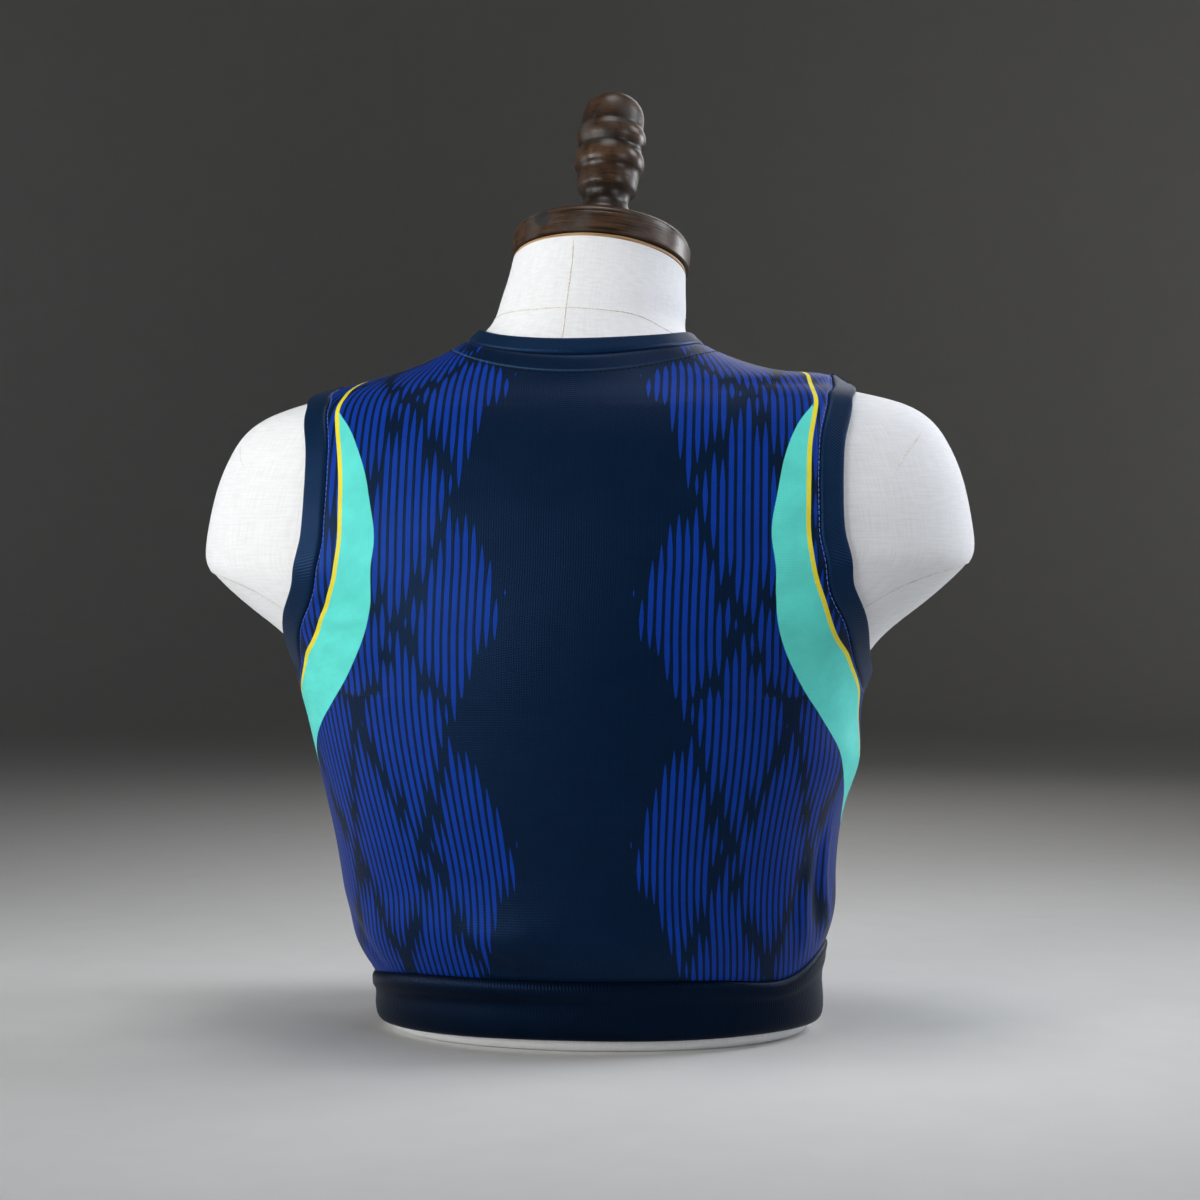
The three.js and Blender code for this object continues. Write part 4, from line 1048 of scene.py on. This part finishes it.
def makeBand(name, height, turn, direction, look, node, uneven):
    section = bandSection(look)
    places = stepsAlongSkin(height, turn, [direction * across for across, _ in section])
    for across, (h, t) in places.items():
        # the stretched edge evens itself out, more so further from the seam
        for _ in range(round(look["evenOut"] * abs(across))):
            h[:] = (np.roll(h, 1) + 2 * h + np.roll(h, -1)) / 4
            bend = np.exp(1j * t)
            t[:] = np.angle((np.roll(bend, 1) + 2 * bend + np.roll(bend, -1)) / 4)
    count, corners = len(height), len(section)
    points = np.zeros((count, corners, 3))
    run = runAlong(np.linalg.norm(np.diff(formPoint(height, turn), axis=0), axis=1))
    place = np.zeros((count, corners, 3))
    for n, (across, above) in enumerate(section):
        h, t = places[direction * across]
        points[:, n] = liftedPoint(h, t, clothLift(h, t) + above + uneven(run, across, t))
        place[:, n] = np.stack([run, np.full(count, across), np.full(count, above)], -1)
    piece = newPiece(name, points.reshape(-1, 3), [loopFaces(count, corners)], binding, "navy_jersey",
                     {"bandPlace": place.reshape(-1, 3)})
    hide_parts(node)


armholeBand = {"width": 12, "thick": 1.9, "stand": 0.35, "points": 420, "evenOut": 5}


def armholeUneven(run, across, turn):
    # a faint ripple, stronger towards the open edge
    share = across / armholeBand["width"]
    ripple = 0.12 * np.sin(run * 0.09) * np.sin(run * 0.031 + 1)
    return ripple * share + 0.03 * np.sin(run * 0.42) * share**2


def makeArmholeBand(name, isLeft, node):
    look = armholeBand
    s = np.arange(look["points"]) * armholeLength / look["points"]
    degrees, height = armholeLine(s)
    turn = np.radians(degrees if isLeft else 180 - degrees)
    makeBand(name, height, turn, 1 if isLeft else -1, look, node, armholeUneven)
    return height, turn


leftHeight, leftTurn = makeArmholeBand("left_armhole_binding", True, "armhole_band_left")
rightHeight, rightTurn = makeArmholeBand("right_armhole_binding", False, "armhole_band_right")

neckBand = {"width": 9.2, "thick": 1.9, "stand": 0.3, "points": 460, "evenOut": 6}


def necklineLoop(count):
    # the top row of the back panel, then of the front, evenly spaced
    top = np.array([garment["shoulderTop"]])
    fine = np.linspace(0, 1, 401)[:-1]
    backHeight, backTurn = rowPlaces(backPanel, np.zeros(1), top, fine)
    frontHeight, frontTurn = rowPlaces(frontPanel, np.zeros(1), top, 1 - fine)
    height = np.concatenate([backHeight[0], frontHeight[0]])
    turn = np.concatenate([backTurn[0], frontTurn[0] + 2 * math.pi])
    points = formPoint(height, turn)
    run = runAlong(np.linalg.norm(np.diff(points, axis=0, append=points[:1]), axis=1))
    s = np.arange(count) * run[-1] / count
    wrappedTurn = np.append(turn, turn[0] + 2 * math.pi)
    wrappedHeight = np.append(height, height[0])
    for _ in range(2):  # soften the corner at the shoulder seams
        wrappedHeight[1:-1] = (wrappedHeight[:-2] + 2 * wrappedHeight[1:-1] + wrappedHeight[2:]) / 4
    return np.interp(s, run, wrappedHeight), np.interp(s, run, wrappedTurn), run[-1]


def neckUneven(run, across, turn):
    # a soft roll and a small fold near the right shoulder
    share = across / neckBand["width"]
    degrees = np.degrees(turn) % 360
    foldUp = 0.8 * bump(degrees, 155, 7) - 0.5 * bump(degrees, 168, 6)
    return share * (0.2 * np.sin(run * 0.055 + 0.5) + foldUp * (1 - share) * 2)


neckHeight, neckTurn, neckLength = necklineLoop(neckBand["points"])
makeBand("neckline_binding", neckHeight, neckTurn, 1, neckBand, "neckband",
         neckUneven)

# The hem band hangs from its seam, so its section is (height, stands out, how thick).
hemBand = {"points": 460, "bottom": 8, "ribRadius": 118, "section": (
    (39.35, 0, 0.4), (38.9, 0, 1.3), (38.1, 0, 2.1), (36.9, 0, 2.85), (35.2, 0, 3.45), (33.4, 0, 3.65),
    (31.6, 0, 3.4), (30, 0, 2.75), (28.6, 0, 2.05), (27.2, 0, 1.55), (25.6, 0.05, 1.35), (23.4, 0.1, 1.5),
    (20.4, 0.15, 1.95), (17, 0.2, 2.4), (13.6, 0.3, 2.6), (11, 0.4, 2.45), (9.4, 0.5, 1.95),
    (8.5, 0.65, 1.3), (8.1, 0.8, 0.7))}


def makeHemBand():
    look = hemBand
    turn = np.arange(look["points"]) * 2 * math.pi / look["points"]
    tilt = hemTilt(turn)
    base = clothLift(garment["hemTop"] + tilt, turn)
    left, right = np.maximum(0, np.cos(turn)) ** 2, np.maximum(0, -np.cos(turn))
    inner, outer = [], []
    for height, stand, thick in look["section"]:
        share = smoothStep(height, look["bottom"] + 4, garment["hemTop"])
        h = height + share * tilt - 2.5 * (1 - share) * left
        # the roll under the seam and the groove below it aren't even all round
        roll, groove = bump(height, 33.8, 3.4), bump(height, 26, 3.2)
        lumps = 0.3 * np.sin(2 * turn + 0.5) + 0.25 * np.sin(5 * turn + 1.4)
        uneven = roll * (lumps - 1.3 * right**3 - 1.3 * left**4)
        uneven = uneven + groove * (0.35 * np.sin(3 * turn + 2) + 0.5 * right**3)
        uneven = uneven + 0.16 * np.sin(7 * turn + height * 0.08) * smoothStep(height, 39.4, 34)
        inner.append(liftedPoint(h, turn, base + stand))
        outer.append(liftedPoint(h, turn, base + stand + thick + np.maximum(uneven, -0.5 * thick)))
    points = np.stack(inner + outer[::-1], 1)
    heights = [row[0] for row in look["section"]]
    place = np.stack(np.broadcast_arrays(turn[:, None] * look["ribRadius"], heights + heights[::-1], 0.0), -1)
    piece = newPiece("hem_band_jersey", points.reshape(-1, 3), [loopFaces(*points.shape[:2])], shadedHemCloth,
                     "navy_jersey", {"bandPlace": place.reshape(-1, 3)})
    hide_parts("hem_band")


makeHemBand()
print("bands made")

# Stitching.

neckStitch = {"below": 11.4, "long": 1.9, "gap": 1.1, "half": 0.36, "above": 1.25}
armholeStitch = {"below": 0.9, "long": 2.3, "gap": 0.7, "half": 0.2, "above": 1.0}


def makeStitches(name, height, turn, direction, look, material):
    # a row of stitches beside a seam, each a short thread pulled down at its ends
    away, spacing = direction * look["below"], look["long"] + look["gap"]
    h, t = stepsAlongSkin(height, turn, [away])[away]
    line = formPoint(h, t)
    run = runAlong(np.linalg.norm(np.diff(line, axis=0, append=line[:1]), axis=1))
    count = int(run[-1] / spacing)
    wholeTurns = round((t[-1] - t[0]) / (2 * math.pi))  # 1 round the neck, 0 round an armhole
    t = np.unwrap(t)
    h, t = np.append(h, h[0]), np.append(t, t[0] + 2 * math.pi * wholeTurns)
    sink = np.array([-0.3, -0.05, 0, 0, -0.05, -0.3])
    wide = look["half"] * np.array([0.5, 0.95, 1, 1, 0.95, 0.5])
    parts = []
    for k in range(count):
        s = (k + np.linspace(0, look["long"] / spacing, 6)) * run[-1] / count
        sh, st = np.interp(s, run, h), np.interp(s, run, t)
        points = liftedPoint(sh, st, clothLift(sh, st) + look["above"] + sink)
        parts.append(tube(points, formNormal(sh, st), wide, wide * 0.8, 6))
    newPiece(name, *joined(parts), material, "navy_jersey")


makeStitches("neckline_topstitching", neckHeight, neckTurn, -1, neckStitch, navyThread)
makeStitches("left_armhole_stitching", leftHeight, leftTurn, -1, armholeStitch, blueThread)
makeStitches("right_armhole_stitching", rightHeight, rightTurn, 1, armholeStitch, blueThread)
print("stitching made")

# Studio.

studio = {
    "paper": "#dedddb", "air": "#f2f3f5", "ambient": 0.04,
    "flat": 2.2, "bend": 0.9, "wall": 3.4, "columns": 96,  # metres: flat out to, bend's radius, wall's top
}


def makeStudio():
    look = studio
    material, tree, shader = newMaterial("studio_paper", {"Roughness": 0.9, "Specular IOR Level": 0.15})
    where = addNode(tree, "TexCoord").outputs["Object"]
    grain = addNode(tree, "TexNoise", {"Scale": 30.0, "Detail": 3.0, "Vector": where})
    shade = addNode(tree, "MapRange", {
        "Value": grain, "From Min": 0.3, "From Max": 0.7, "To Min": 0.985, "To Max": 1.015})
    colour = addNode(tree, "VectorMath", {0: linear(look["paper"])[:3], "Scale": shade}, operation="SCALE")
    tree.links.new(colour.outputs[0], shader.inputs["Base Color"])
    # a round sheet of paper that curves up into a wall far out on every side
    flat, bend, columns = look["flat"], look["bend"], look["columns"]
    curve = np.linspace(0, math.pi / 2, 14)[1:]
    radius = np.concatenate([np.linspace(0.02, flat, 24), flat + bend * np.sin(curve), [flat + bend] * 2])
    height = np.concatenate([np.zeros(24), bend - bend * np.cos(curve), [2 * bend, look["wall"]]])
    angle = np.arange(columns) * 2 * math.pi / columns
    radius, height = radius[:, None], height[:, None]
    points = np.stack([radius * np.cos(angle), radius * np.sin(angle), height + 0 * angle], -1).reshape(-1, 3)
    faces = gridFaces(len(radius), columns, True).tolist()
    fan = [[len(points), j, (j + 1) % columns] for j in range(columns)]
    mesh = bpy.data.meshes.new("studio_floor")
    mesh.from_pydata(np.concatenate([points, [[0, 0, 0]]]).tolist(), [], faces + fan)
    mesh.shade_smooth()
    mesh.materials.append(material)
    floor = bpy.data.objects.new("studio_floor", mesh)
    bpy.context.scene.collection.objects.link(floor)
    world = bpy.data.worlds.new("studio_air")
    world.use_nodes = True
    background = world.node_tree.nodes["Background"]
    background.inputs["Color"].default_value = linear(look["air"])
    background.inputs["Strength"].default_value = look["ambient"]
    bpy.context.scene.world = world


# Soft boxes: where each stands, what it points at, its size in metres, its power in watts and how
# wide its beam opens in degrees.
softBoxes = {
    "key": {
        "at": (1.2, 0.9, 0.55), "to": (0.05, 0.05, 0.4),
        "size": 0.6, "power": 1.26, "beam": 55, "colour": "#fffefb"},
    "behind": {
        "at": (0.8, 1.4, 0.5), "to": (0, 0.05, 0.4),
        "size": 0.6, "power": 0.9, "beam": 55, "colour": "#fffefb"},
    "over": {
        "at": (0, 0.05, 1.6), "to": (0, 0, 0.3),
        "size": 0.6, "power": 2.2, "beam": 110, "colour": "#fbfcff"},
    "edge": {
        "at": (-0.93, -0.2, 0.95), "to": (-0.12, 0.02, 0.33),
        "size": 0.42, "power": 2.1, "beam": 110, "colour": "#f4f8ff"},
    "side": {
        "at": (-1.2, -0.9, 0.5), "to": (-0.1, 0, 0.38),
        "size": 0.6, "power": 1.15, "beam": 55, "colour": "#f6f9ff"},
    "fill": {
        "at": (-1.1, 0.9, 0.6), "to": (-0.05, 0.05, 0.4),
        "size": 0.6, "power": 0.58, "beam": 55, "colour": "#f6f9ff"},
    "front": {
        "at": (-0.5, -1.5, 1.1), "to": (0, 0, 0.28),
        "size": 1.0, "power": 1.6, "beam": 110, "colour": "#fffdf9"},
    "low": {
        "at": (1.3, 0.1, 0.35), "to": (0.1, 0, 0.25),
        "size": 0.6, "power": 1.5, "beam": 110, "colour": "#f6f9ff"},
}


def makeLights():
    for name, look in softBoxes.items():
        light = bpy.data.lights.new(name + "_softbox", "AREA")
        light.shape, light.size, light.energy = "DISK", look["size"], look["power"]
        light.spread = math.radians(look["beam"])
        light.color = linear(look["colour"])[:3]
        lamp = bpy.data.objects.new(name + "_softbox", light)
        lamp.location = look["at"]
        lamp.rotation_mode = "QUATERNION"
        lamp.rotation_quaternion = (Vector(look["to"]) - Vector(look["at"])).to_track_quat("-Z", "Y")
        bpy.context.scene.collection.objects.link(lamp)


# The camera stands 1.4 m behind the form, 6 degrees round to the wearer's right, a little over
# half way up. Across and down are the slopes of its line of sight.
lens = {
    "azimuth": 6, "distance": 1.4, "height": 0.2715, "focal": 76.02,
    "across": 0.0055249, "down": 0.0256511,
}


def makeCamera():
    a = math.radians(lens["azimuth"])
    ahead, right = Vector((math.sin(a), -math.cos(a), 0)), Vector((-math.cos(a), -math.sin(a), 0))
    camera = bpy.data.cameras.new("studio_camera")
    camera.lens, camera.sensor_width = lens["focal"], 36
    eye = bpy.data.objects.new("studio_camera", camera)
    eye.location = -ahead * lens["distance"] + Vector((0, 0, lens["height"]))
    aim = ahead + right * lens["across"] - Vector((0, 0, lens["down"]))
    eye.rotation_mode = "QUATERNION"
    eye.rotation_quaternion = aim.to_track_quat("-Z", "Y")
    bpy.context.scene.collection.objects.link(eye)
    bpy.context.scene.camera = eye


makeStudio()
makeLights()
makeCamera()
print("studio made")
